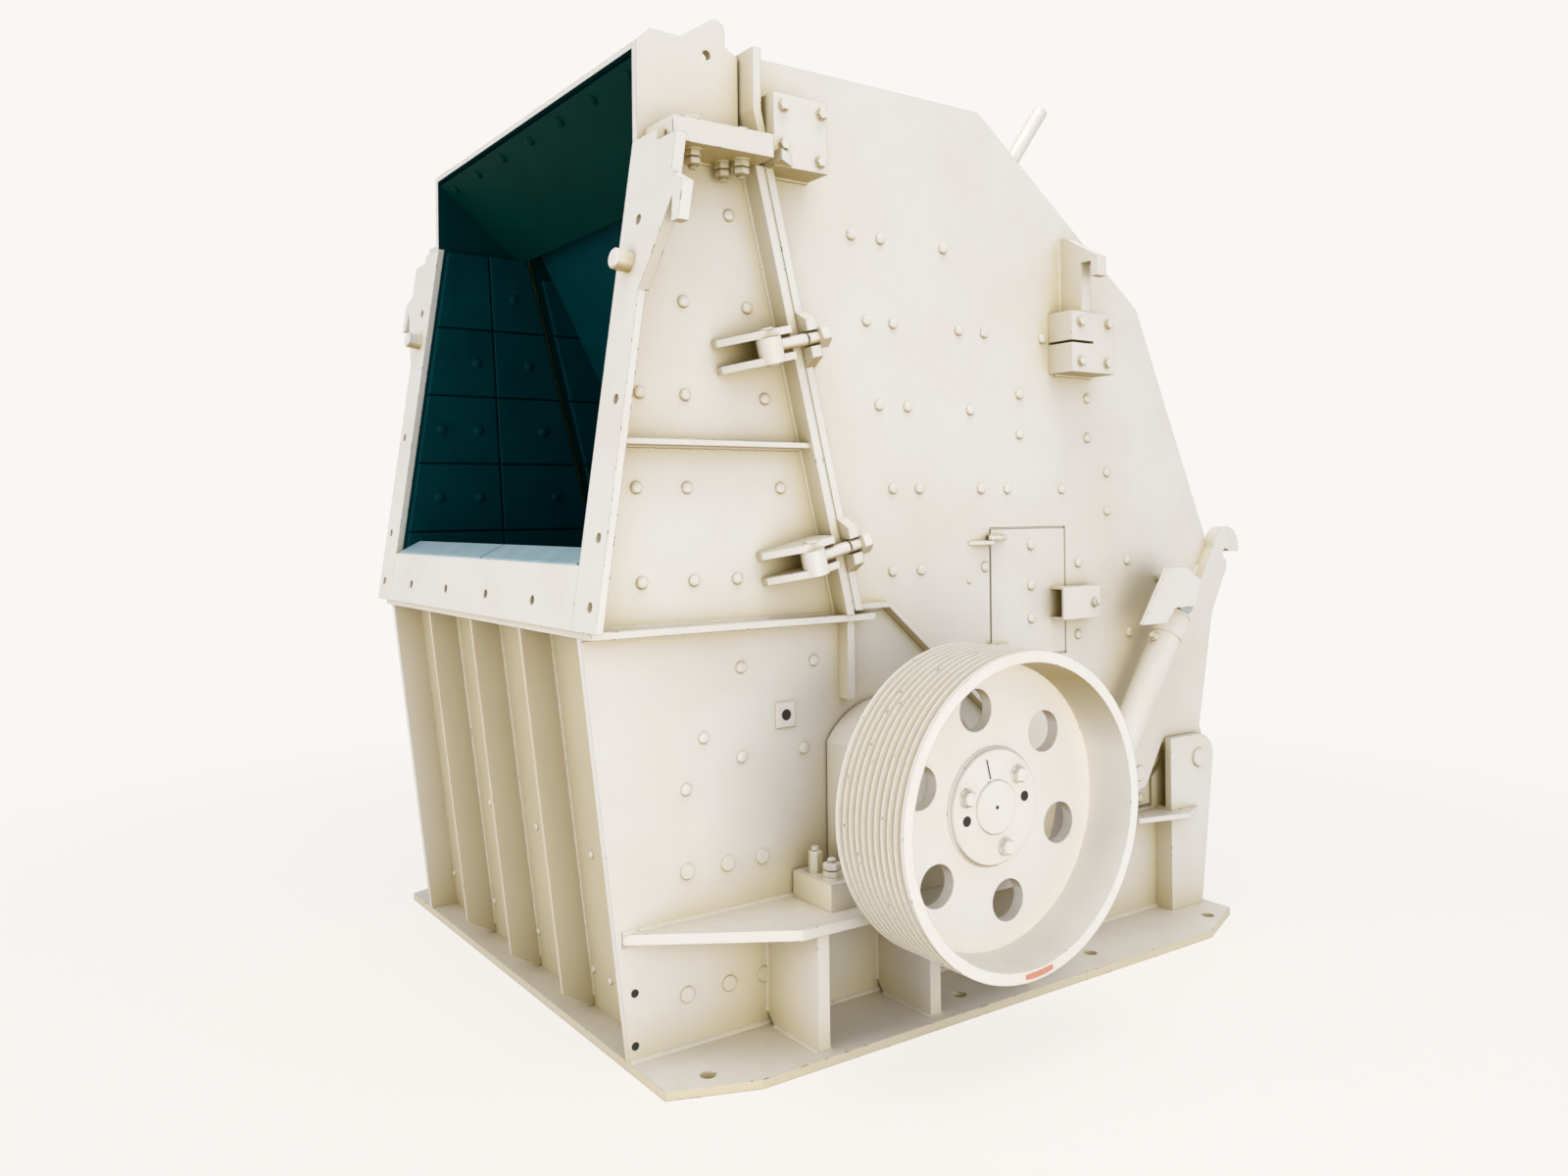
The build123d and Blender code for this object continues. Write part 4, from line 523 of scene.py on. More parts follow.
@dataclass
class Finishes:
    """All finishes of the machine, made once."""

    paint: bpy.types.Material = field(default_factory=SprayedEnamel().material)
    side_paint: bpy.types.Material = field(default_factory=SprayedEnamel(
        "cream_enamel_side_plates", Inside.SIDE_PLATE).material)
    lower_paint: bpy.types.Material = field(default_factory=SprayedEnamel(
        "cream_enamel_lower_sides", Inside.LOWER_SIDE).material)
    rear_paint: bpy.types.Material = field(default_factory=SprayedEnamel(
        "cream_enamel_rear_sides", Inside.REAR_SIDE).material)
    # The same enamel on the turned pulley, with a short reach: a corner tone paler than the paint, painted light that
    # keeps the grooves pale, and a pale tan recess tone of painted shade.
    pulley_paint: bpy.types.Material = field(default_factory=SprayedEnamel(
        "cream_enamel_pulley", corner_shade_colour="#F4EFE4", recess_shade_colour="#C9BB8C", corner_mm=110.0).material)
    # The same enamel on turned bars, with no plate edges to knock.
    bar_paint: bpy.types.Material = field(default_factory=SprayedEnamel(
        "cream_enamel_bars", chip_level=0.95).material)
    # The same enamel on the outer flanges, whose edges were knocked in handling.
    flange_paint: bpy.types.Material = field(default_factory=SprayedEnamel(
        "cream_enamel_flanges", chip_level=0.6).material)
    # The same enamel below the feed mouth, in a darker tan copy with a darker corner tone: painted shade on the front
    # wall and its ribs.
    front_shaded_paint: bpy.types.Material = field(default_factory=SprayedEnamel(
        "cream_enamel_shaded_front", Inside.WALL, "#D6CDB6", "#CFC5AC", corner_shade_colour="#C8BB98").material)
    # The ribs get the same darker copy: painted shade.
    front_rib_shaded_paint: bpy.types.Material = field(default_factory=SprayedEnamel(
        "cream_enamel_shaded_front_ribs", Inside.NONE, "#DDD5C1", "#D6CDB7", corner_shade_colour="#C8BB98").material)
    wall_paint: bpy.types.Material = field(default_factory=SprayedEnamel(
        "cream_enamel_walls", Inside.WALL).material)
    interior: bpy.types.Material = field(default_factory=InteriorEnamel().material)
    # The same primer on the sloped hood lining, which keeps its green tone in the light.
    hood_interior: bpy.types.Material = field(default_factory=InteriorEnamel(
        "interior_green_hood", "#003730", "#002924", "#0D453D").material)
    # The same enamel on the bearings, with a longer reach and olive tones of painted shade from the pulley in front.
    bearing_shaded_paint: bpy.types.Material = field(default_factory=SprayedEnamel(
        "cream_enamel_bearings_shaded", corner_shade_colour="#DED5BC", recess_shade_colour="#8F7400", underside_shade_colour="#94790A",
        corner_mm=320.0).material)
    # Cast manganese steel: dark brown-grey, rough from the sand mould.
    iron: bpy.types.Material = field(default_factory=BareMetal(
        "manganese_steel_cast", "#57504A", "#3A2F28", 0.55, 9.0, bump=0.5).material)
    # Hard chrome ground on a rod: bright, with fine rings round it.
    chrome: bpy.types.Material = field(default_factory=BareMetal(
        "hard_chrome_ground", "#C9CCCF", "#B4B7BA", 0.14, 3.0, (1.0, 1.0, 6.0), 0.03).material)
    # Rolled wear plate, drawn as a matt pale blue coat with paler and darker mottling.
    wear_plate: bpy.types.Material = field(default_factory=DullCoat(
        "wear_plate_pale_blue", "#BFD8E0", "#8DB2C0", 0.4, 90.0).material)
    # Brushed-on marking paint: flat brick orange.
    mark: bpy.types.Material = field(default_factory=DullCoat(
        "marking_paint_brushed", "#DFA089", "#CF8A72", 0.6).material)
    # Painted shade inside a drilled hole: nearly black.
    bore: bpy.types.Material = field(default_factory=DullCoat(
        "drilled_hole_painted_shade", "#1D1A14", "#2B261B", 0.5).material)


# ------------------------------------------------------------------------------------------ shaping


@dataclass(frozen=True)
class SidePlates:
    """Common sizes of the two long sides, and the lines that the plates lean along."""

    half_width: float = 800.0
    inner_half: float = 775.0
    liner_row: float = 1293.0
    liner_pitch: float = 254.0
    liner_bolt: float = 19.0
    base_top: float = 25.0
    deck_top: float = 1175.0
    mouth_foot: float = -1319.0
    mouth_lean: float = 0.15
    joint_foot: float = -455.0
    joint_head_z: float = 2600.0
    joint_run: float = 345.0
    joint_rise: float = 1425.0
    front_foot: float = -1175.0
    front_run: float = 128.0
    front_rise: float = 1130.0


def mouth_x(z: float) -> float:
    """X of the outer face of the mouth frame at a height."""
    return SidePlates.mouth_foot + (z - SidePlates.deck_top) * SidePlates.mouth_lean


def split_x(z: float) -> float:
    """X of the joint face between inlet and rear housing at a height."""
    rise = min(z, SidePlates.joint_head_z) - SidePlates.deck_top
    return SidePlates.joint_foot - rise * SidePlates.joint_run / SidePlates.joint_rise


def front_x(z: float) -> float:
    """X of the leaning front edge of the lower housing at a height."""
    return SidePlates.front_foot - (z - SidePlates.base_top) * SidePlates.front_run / SidePlates.front_rise


def row_z(step: int) -> float:
    """Height of a row of liner bolts, counted from below."""
    return SidePlates.liner_row + step * SidePlates.liner_pitch


def on_plate(side: Side, x: float, z: float, out: float = 0.0) -> Point:
    """Place on a side plate, out from its outer face by a distance."""
    return x, side.value * (SidePlates.half_width + out), z


def outward(side: Side) -> Point:
    """Direction out of a side plate."""
    return 0.0, float(side.value), 0.0


def seat(point: Iterable[float], axis: Iterable[float], turn: float = 0.0) -> Matrix:
    """Local frame at a point of the machine.

    Args:
        point: Place in millimetres.
        axis: Direction of the local Z.
        turn: Turn about the axis in degrees.

    Returns:
        Matrix from the local frame to the machine.
    """
    facing = Vector(axis).normalized().to_track_quat("Z", "Y").to_matrix().to_4x4()
    return Matrix.Translation(Vector(point)) @ facing @ Matrix.Rotation(math.radians(turn), 4, "Z")


def drawn_in(outline: Sequence[Flat], width: float) -> list[Flat]:
    """Draws an outline in by a width.

    Args:
        outline: Corners of a convex outline, counter-clockwise.
        width: Distance that every edge moves in.

    Returns:
        Corners of the smaller outline.
    """
    inner = []
    for i, (x, y) in enumerate(outline):
        back = (Vector(outline[i]) - Vector(outline[i - 1])).normalized()
        ahead = (Vector(outline[(i + 1) % len(outline)]) - Vector(outline[i])).normalized()
        bend = max(1 + back.dot(ahead), LEAST_BEND)
        inner.append((x - (back.y + ahead.y) * width / bend, y + (back.x + ahead.x) * width / bend))
    return inner


@dataclass(frozen=True)
class FastenerShares:
    """Rings of each fastener, as shares of its thread size: radius and height."""

    round_head: Profile = ((0.92, 0.2), (0.86, 0.3), (0.62, 0.48), (0.3, 0.54))
    plug: Profile = ((0.5, 0.08), (0.45, 0.13))
    washer: Profile = ((1.0, 0.12), (0.95, 0.17))
    nut: Profile = ((0.86, 0.15), (0.9, 0.2), (0.9, 0.74), (0.76, 0.84))
    nut_height: float = 0.8
    thread_r: float = 0.48
    root_r: float = 0.42
    tip: Flat = (0.36, 0.45)
    pitch: float = 0.1
    turns: int = 4
    round_sides: int = 28
    plug_sides: int = 32
    thread_sides: int = 20


@dataclass(frozen=True)
class BeadForm:
    """Form of a fillet weld laid by hand."""

    ripple: float = 9.0
    waves: tuple[Point, ...] = ((0.10, 2.1, 0.0), (0.06, 0.73, 1.0))  # swing, turn a ripple and start
    sink: float = 1.5
    throat: float = 0.62
    leg: float = 8.0


def scaled(shares: Profile, size: float, rise: float = 0.0) -> list[Flat]:
    """Turns shares of a size into rings, raised by a distance."""
    return [(radius * size, height * size + rise) for radius, height in shares]


@dataclass
class Shaper:
    """Collects the closed solids of one piece, in millimetres."""

    name: str
    mesh: bmesh.types.BMesh = field(default_factory=bmesh.new)
    sharp_angle: float = 35.0

    def rings(self, loops: Sequence[Sequence[Vector]], annular: bool = False) -> None:
        """Skins a row of point loops, and closes its ends or joins the last loop to the first.

        Args:
            loops: Loops of equally many points, in order.
            annular: Whether the last loop joins the first.
        """
        rows = [[self.mesh.verts.new(point) for point in loop] for loop in loops]
        count = len(rows[0])
        for low, high in zip(rows, rows[1:] + rows[:1] if annular else rows[1:]):
            for i in range(count):
                j = (i + 1) % count
                self.mesh.faces.new((low[i], low[j], high[j], high[i]))
        if not annular:
            self.mesh.faces.new(rows[0][::-1])
            self.mesh.faces.new(rows[-1])

    def turned(self, place: Matrix, sides: int, profile: Sequence[Flat], annular: bool = False) -> None:
        """Adds a turned or prismatic body.

        Args:
            place: Local frame, with the axis along Z.
            sides: Number of sides; six for a hex.
            profile: Radius and height of each ring.
            annular: Whether the profile goes round a hole and closes on itself.
        """
        angles = [2 * math.pi * i / sides for i in range(sides)]
        loops = [[place @ Vector((r * math.cos(a), r * math.sin(a), h)) for a in angles] for r, h in profile]
        self.rings(loops, annular)

    def slab(self, place: Matrix, outline: Sequence[Flat], thick: float, chamfer: float) -> None:
        """Adds a plate with a chamfered upper rim.

        Args:
            place: Local frame, with the plate standing up along Z.
            outline: Corners in the local X and Y, counter-clockwise and convex.
            thick: Thickness of the plate.
            chamfer: Width of the chamfer.
        """
        levels = [(outline, 0.0), (outline, thick - chamfer), (drawn_in(outline, chamfer), thick)]
        self.rings([[place @ Vector((x, y, h)) for x, y in loop] for loop, h in levels])

    def upright(self, outline: Sequence[Flat], y_from: float, y_to: float, chamfer: float) -> None:
        """Adds a plate that lies along a side plate, chamfered round its last face.

        Args:
            outline: Corners in X and Z, counter-clockwise seen from the pulley side, and convex.
            y_from: Y of its back.
            y_to: Y of its face.
            chamfer: Width of the chamfer.
        """
        shoulder = y_to - math.copysign(chamfer, y_to - y_from)
        levels = [(outline, y_from), (outline, shoulder), (drawn_in(outline, chamfer), y_to)]
        self.rings([[Vector((x, y, z)) for x, z in loop] for loop, y in levels])

    def hole_mouth(self, place: Matrix, radius: float, sides: int, proud: float = 1.0) -> None:
        """Adds a thin dark disc on the face, the painted shade in the mouth of a drilled hole.

        Args:
            place: Local frame on the face.
            radius: Radius of the hole.
            sides: Number of sides.
            proud: Height of the disc over the face.
        """
        self.turned(place, sides, [
            (radius, SEAT_DEPTH), (radius, proud - MOUTH_RIM_HEIGHT), (radius - MOUTH_RIM_WIDTH, proud)])

    def weld(self, start: Point, end: Point, along: Point, up: Point, leg: float = BeadForm.leg) -> None:
        """Adds a rippled fillet weld in the corner between two plates.

        Args:
            start: Start of the corner line.
            end: End of the corner line.
            along: Direction from the corner over the first plate.
            up: Direction from the corner over the second plate.
            leg: Length of each leg of the fillet.
        """
        first, last = Vector(start), Vector(end)
        over, rise = Vector(along), Vector(up)
        if over.cross(rise).dot(last - first) > 0:
            over, rise = rise, over
        steps = max(2, int((last - first).length / BeadForm.ripple))
        sink = BeadForm.sink
        loops = []
        for i in range(steps + 1):
            size = leg * sum((swing * math.sin(i * turn + from_) for swing, turn, from_ in BeadForm.waves), 1.0)
            corner = first.lerp(last, i / steps) - (over + rise) * sink
            loops.append([corner, corner + rise * (size + sink),
                          corner + (rise + over) * (size * BeadForm.throat + sink), corner + over * (size + sink)])
        self.rings(loops)

    def fastener(self, head: Head, point: Point, axis: Point, size: float, turn: float = 0.0) -> None:
        """Adds a bolt, nut, stud or plug.

        Args:
            head: Kind of fastener.
            point: Place on the plate.
            axis: Direction it stands out in.
            size: Thread diameter, or the diameter of a plug.
            turn: Turn of the hex about the axis in degrees.
        """
        place = seat(point, axis, turn)
        form = FastenerShares
        shares, sides = {Head.LINER_BOLT: (form.round_head, form.round_sides),
                         Head.PLUG: (form.plug, form.plug_sides)}.get(head, (form.washer, form.round_sides))
        self.turned(place, sides, [(shares[0][0] * size, SEAT_DEPTH), *scaled(shares, size)])
        if head in (Head.LINER_BOLT, Head.PLUG):
            return
        self.turned(place, 6, scaled(form.nut, size))
        if head is Head.HEX_BOLT:
            return
        tall = size * form.nut_height if head is Head.TALL_STUD else 0.0
        if head is Head.TALL_STUD:
            self.turned(place, 6, scaled(form.nut, size, tall))
        top = size * form.nut_height + tall
        thread = [(size * form.thread_r, top - size * form.pitch)]
        for ring in range(form.turns):
            base = top + ring * size * form.pitch
            thread += [(size * form.thread_r, base), (size * form.root_r, base + size * form.pitch / 2)]
        self.turned(place, form.thread_sides, thread + [(size * form.tip[0], top + size * form.tip[1])])

    def piece(self, finish: bpy.types.Material, body: Body, slot: Slot, *replaced: str) -> bpy.types.Object:
        """Turns the solids into an object that rides on a body.

        Args:
            finish: Material of the piece.
            body: Body that it moves with.
            slot: Slot of the record that its finish comes from; not used.
            replaced: CAD nodes that the piece stands for.

        Returns:
            The new object.
        """
        self.mesh.transform(Matrix.Scale(METRES_PER_MM, 4))
        bmesh.ops.recalc_face_normals(self.mesh, faces=self.mesh.faces[:])
        limit = math.radians(self.sharp_angle)
        for edge in self.mesh.edges:
            edge.smooth = len(edge.link_faces) == 2 and edge.calc_face_angle(math.pi) < limit
        for face in self.mesh.faces:
            face.smooth = True
        mesh = bpy.data.meshes.new(self.name)
        self.mesh.to_mesh(mesh)
        self.mesh.free()
        mesh.materials.append(finish)
        piece = bpy.data.objects.new(self.name, mesh)
        bpy.context.scene.collection.objects.link(piece)
        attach(piece, body.value)
        if replaced:
            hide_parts(*replaced)
        LOG.info("%s: %d faces, rides on %s", self.name, len(mesh.polygons), body.value)
        return piece


# ------------------------------------------------------------------------------------------ machine


@dataclass
class Assembly:
    """A sub-assembly of the machine, which shapes its pieces and gives them their finish."""

    finishes: Finishes

    def build(self) -> None:
        """Builds and dresses the pieces."""
        raise NotImplementedError

    def painted(self, shaper: Shaper, body: Body) -> bpy.types.Object:
        """Makes a piece in the cream paint."""
        return shaper.piece(self.finishes.paint, body, Slot.PAINT)


@dataclass
class NodeCoats(Assembly):
    """Finishes of the carried-over CAD nodes; a node that isn't named here has the plain cream paint."""

    side_plates: tuple[str, ...] = ("inlet_sides", "hood_sides", "inspection_door")
    lower_sides: tuple[str, ...] = ("lower_sides",)
    rear_sides: tuple[str, ...] = ("rear_sides",)
    pulley: tuple[str, ...] = ("drive_pulley", "pulley_bush")
    flanges: tuple[str, ...] = ("hood_flanges", "mouth_bars", "base_flange_sides")
    front_wall: tuple[str, ...] = ("lower_front_wall",)
    front_ribs: tuple[str, ...] = ("front_wall_ribs",)
    hood_lining: tuple[str, ...] = ("hood_lining",)
    bearings: tuple[str, ...] = ("bearing_blocks", "rotor_shaft")
    bars: tuple[str, ...] = ("adjusting_rods", "cylinder_barrel_near", "cylinder_barrel_far", "hinge_pins")
    walls: tuple[str, ...] = (
        "lower_rear_wall", "hood_roof", "rear_roof", "rear_slope", "rear_upper_back", "rear_lower_back", "rear_heel")
    interior: tuple[str, ...] = ("feed_plate", "front_apron", "rear_apron", "inlet_liners", "rear_liners")
    iron: tuple[str, ...] = ("rotor_body", "blow_bars", "apron_shafts")
    chrome: tuple[str, ...] = ("cylinder_rod_near", "cylinder_rod_far")

    def build(self) -> None:
        """Gives every node its material."""
        coats = self.finishes
        special = {
            self.side_plates: coats.side_paint, self.lower_sides: coats.lower_paint,
            self.rear_sides: coats.rear_paint, self.pulley: coats.pulley_paint, self.flanges: coats.flange_paint,
            self.front_wall: coats.front_shaded_paint, self.front_ribs: coats.front_rib_shaded_paint,
            self.hood_lining: coats.hood_interior, self.bearings: coats.bearing_shaded_paint, self.bars: coats.bar_paint,
            self.walls: coats.wall_paint, self.interior: coats.interior, self.iron: coats.iron,
            self.chrome: coats.chrome}
        by_node = {node: finish for nodes, finish in special.items() for node in nodes}
        for node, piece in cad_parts.items():
            for slot in piece.material_slots:
                slot.material = by_node.get(node, coats.paint)


@dataclass
class LowerHousing(Assembly):
    """Welded lower housing: base flange, side plates, front wall and bearing shelves."""

    deck: float = 1155.0
    deck_end: float = -375.0
    rear_x: float = 1010.0
    base_weld: float = 10.0
    shelf_top: float = 370.0
    shelf_thick: float = 30.0
    shelf_front: float = -1195.0
    shelf_rear: float = 570.0
    gusset_x: tuple[float, ...] = (-715.0, -315.0, 85.0)
    gusset_half: float = 20.0
    gusset_out: float = 243.0
    gusset_cut: float = 34.0
    rib_y: tuple[float, ...] = (-390.0, 0.0, 390.0)
    rib_half: float = 8.0
    rib_foot: float = 30.0
    rib_weld: float = 7.0
    recess: float = 95.0
    plug_d: float = 44.0
    plug_rows: RowsByHeight = ((501.0, (-994.0, -864.0, -748.0)), (167.0, (-998.0, -864.0, -747.0)))
    bolt_rows: RowsByHeight = (
        (1043.0, (-814.0, -561.0)), (791.0, (-814.0, -600.0)), (859.0, (-938.0,)), (724.0, (-995.0,)))
    hole_x: float = -1158.0
    hole_z: tuple[float, ...] = (207.0, 67.0)
    hole_r: float = 11.0
    hole_proud: float = 0.8
    pad: Flat = (-665.0, 895.0)
    pad_half: Flat = (34.0, 38.0)
    pad_thick: float = 9.0
    pad_chamfer: float = 3.0
    pad_face: float = 7.0
    pad_hole_r: float = 16.0
    pad_hole_proud: float = 1.6
    hinge: Flat = (1135.0, 560.0)
    hinge_out: float = 71.0
    hinge_d: float = 66.0
    wall_bolt: float = 13.0
    wall_out: Point = (-1.0, 0.0, -0.113)
    wall_rows: RowsByHeight = (
        (504.0, (-500.0, -110.0, 280.0, 670.0)), (142.0, (-530.0, -418.0, -19.0, 358.0, 760.0)))
    sill_path: Profile = ((-425.0, 1175.2), (-303.0, 1175.2), (600.0, 393.2))
    sill_rise: float = 11.2
    sill_inset: float = 3.0
    sill_setback: float = 1.0
    sill_chamfer: float = 0.6

    def build(self) -> None:
        """Builds and dresses the fittings of the lower housing."""
        self.painted(self.welds(), Body.FIXED)
        self.painted(self.bolts(), Body.FIXED)
        self.painted(self.wall_bolts(), Body.FIXED)
        # The dark hole mouths are painted shade.
        self.hole_shade_discs().piece(self.finishes.bore, Body.FIXED, Slot.IRON)
        self.painted(self.packing(), Body.FIXED)

    def packing(self) -> Shaper:
        """Shapes the painted packing on the upper edges of the side plates, under the sill of the rear housing.

        Returns:
            Strips of both sides.
        """
        strips = Shaper("sill_packing")
        for side in Side:
            inner = side.value * (SidePlates.inner_half + self.sill_inset)
            outer = on_plate(side, 0.0, 0.0, -self.sill_setback)[1]
            for (x_from, z_from), (x_to, z_to) in zip(self.sill_path, self.sill_path[1:]):
                strips.upright([
                    (x_from, z_from), (x_to, z_to), (x_to, z_to + self.sill_rise),
                    (x_from, z_from + self.sill_rise)], inner, outer, self.sill_chamfer)
        return strips

    def welds(self) -> Shaper:
        """Shapes the weld beads.

        Returns:
            Beads of both sides and of the front wall.
        """
        beads = Shaper("lower_welds")
        base = SidePlates.base_top
        for side in Side:
            out = outward(side)
            beads.weld(on_plate(side, front_x(base), base), on_plate(side, self.rear_x, base), out, UP, self.base_weld)
            beads.weld(on_plate(side, front_x(self.deck), self.deck), on_plate(side, self.deck_end, self.deck),
                       out, DOWN)
            for z, rise in ((self.shelf_top, UP), (self.shelf_top - self.shelf_thick, DOWN)):
                beads.weld(on_plate(side, self.shelf_front, z), on_plate(side, self.shelf_rear, z), out, rise)
            for x in self.gusset_x:
                self._gusset_welds(beads, side, x)
        for y in self.rib_y:
            for step in (-1.0, 1.0):
                face = y + step * self.rib_half
                beads.weld((front_x(base) + self.recess, face, base + self.rib_foot),
                           (front_x(self.deck) + self.recess, face, self.deck),
                           FORWARD, (0.0, step, 0.0), self.rib_weld)
        return beads

    def _gusset_welds(self, beads: Shaper, side: Side, x: float) -> None:
        """Welds a shelf gusset on both of its faces.

        Args:
            beads: Shaper that gets the beads.
            side: Side of the machine.
            x: Place of the gusset.
        """
        base, under = SidePlates.base_top, self.shelf_top - self.shelf_thick
        for step in (-1.0, 1.0):
            face = x + step * self.gusset_half
            beads.weld(on_plate(side, face, base + self.gusset_cut), on_plate(side, face, under - self.gusset_cut),
                       (step, 0.0, 0.0), outward(side))
            for z, rise in ((base, UP), (under, DOWN)):
                beads.weld(on_plate(side, face, z, self.gusset_cut), on_plate(side, face, z, self.gusset_out),
                           (step, 0.0, 0.0), rise)

    def bolts(self) -> Shaper:
        """Shapes the plugs, bolts and pads of the side plates.

        Returns:
            Fasteners of both sides.
        """
        bolts = Shaper("lower_side_bolts")
        half_x, half_z = self.pad_half
        pad = [(-half_x, -half_z), (half_x, -half_z), (half_x, half_z), (-half_x, half_z)]
        kinds = ((self.plug_rows, Head.PLUG, self.plug_d), (self.bolt_rows, Head.LINER_BOLT, SidePlates.liner_bolt))
        for side in Side:
            for rows, head, size in kinds:
                for z, row in rows:
                    for x in row:
                        bolts.fastener(head, on_plate(side, x, z), outward(side), size)
            bolts.slab(seat(on_plate(side, *self.pad, SEAT_DEPTH), outward(side)), pad, self.pad_thick,
                       self.pad_chamfer)
            bolts.fastener(Head.PLUG, on_plate(side, *self.hinge, self.hinge_out), outward(side), self.hinge_d)
        return bolts

    def wall_bolts(self) -> Shaper:
        """Shapes the bolt ends on the front wall.

        Returns:
            Fasteners of the front wall.
        """
        bolts = Shaper("front_wall_bolts")
        for z, row in self.wall_rows:
            for y in row:
                bolts.fastener(Head.LINER_BOLT, (front_x(z) + self.recess, y, z), self.wall_out, self.wall_bolt)
        return bolts

    def hole_shade_discs(self) -> Shaper:
        """Shapes the dark discs of painted shade in the mouths of the tapped holes.

        Returns:
            Hole mouths of both sides.
        """
        hole_shade_discs = Shaper("lower_tapped_hole_shade")
        for side in Side:
            for z in self.hole_z:
                hole_shade_discs.hole_mouth(seat(on_plate(side, self.hole_x, z), outward(side)), self.hole_r, 20, self.hole_proud)
            hole_shade_discs.hole_mouth(seat(on_plate(side, *self.pad, self.pad_face), outward(side)), self.pad_hole_r, 24,
                             self.pad_hole_proud)
        return hole_shade_discs


@dataclass
class BearingSet(Assembly):
    """Fittings of the two pillow block bearings."""

    shaft: Flat = (-315.0, 672.0)
    foot_half: float = 332.0
    foot_top: float = 446.0
    body_out: float = 191.0
    cap_out: float = 35.0
    bolt_inset: float = 40.0
    bolt_out: Flat = (62.0, 140.0)
    sleeve: Profile = ((21.0, SEAT_DEPTH), (21.0, 58.0), (17.0, 62.0))
    sleeve_turn: float = 10.0
    sleeve_tip: Profile = ((11.0, 0.0), (11.0, 12.0), (9.0, 14.0))
    sleeve_tip_from: float = 60.0
    stud: float = 28.0
    stud_turn: float = 24.0
    cap_bolts: int = 8
    cap_bolt: float = 14.0
    cap_start: float = 22.5
    cap_ring_r: float = 165.0
    nipple_at: Flat = (40.0, 236.0)
    nipple_out: Point = (0.15, 0.0, 1.0)
    nipple: Profile = ((9.0, -4.0), (9.0, 8.0), (5.0, 9.0), (5.0, 16.0), (7.0, 19.0), (4.0, 24.0))

    def build(self) -> None:
        """Builds and dresses the bearing fasteners."""
        self.painted(self.bolts(), Body.FIXED)

    def bolts(self) -> Shaper:
        """Shapes foot studs, cap screws and grease nipples.

        Returns:
            Fasteners of both bearings.
        """
        bolts = Shaper("bearing_bolts")
        x, z = self.shaft
        near, far = self.bolt_out
        for side in Side:
            for end in (-1.0, 1.0):
                foot_x = x + end * (self.foot_half - self.bolt_inset)
                bolts.turned(seat(on_plate(side, foot_x, self.foot_top, near), UP, self.sleeve_turn), 6, self.sleeve)
                tip = on_plate(side, foot_x, self.foot_top + self.sleeve_tip_from, near)
                bolts.turned(seat(tip, UP), 20, self.sleeve_tip)
                bolts.fastener(Head.TALL_STUD, on_plate(side, foot_x, self.foot_top, far), UP, self.stud,
                               self.stud_turn)
            for step in range(self.cap_bolts):
                angle = math.radians(self.cap_start + 360.0 * step / self.cap_bolts)
                spot = on_plate(side, x + self.cap_ring_r * math.cos(angle), z + self.cap_ring_r * math.sin(angle),
                                self.body_out + self.cap_out)
                bolts.fastener(Head.HEX_BOLT, spot, outward(side), self.cap_bolt)
            spot = on_plate(side, x + self.nipple_at[0], z + self.nipple_at[1], self.body_out / 2)
            bolts.turned(seat(spot, self.nipple_out), 16, self.nipple)
        return bolts


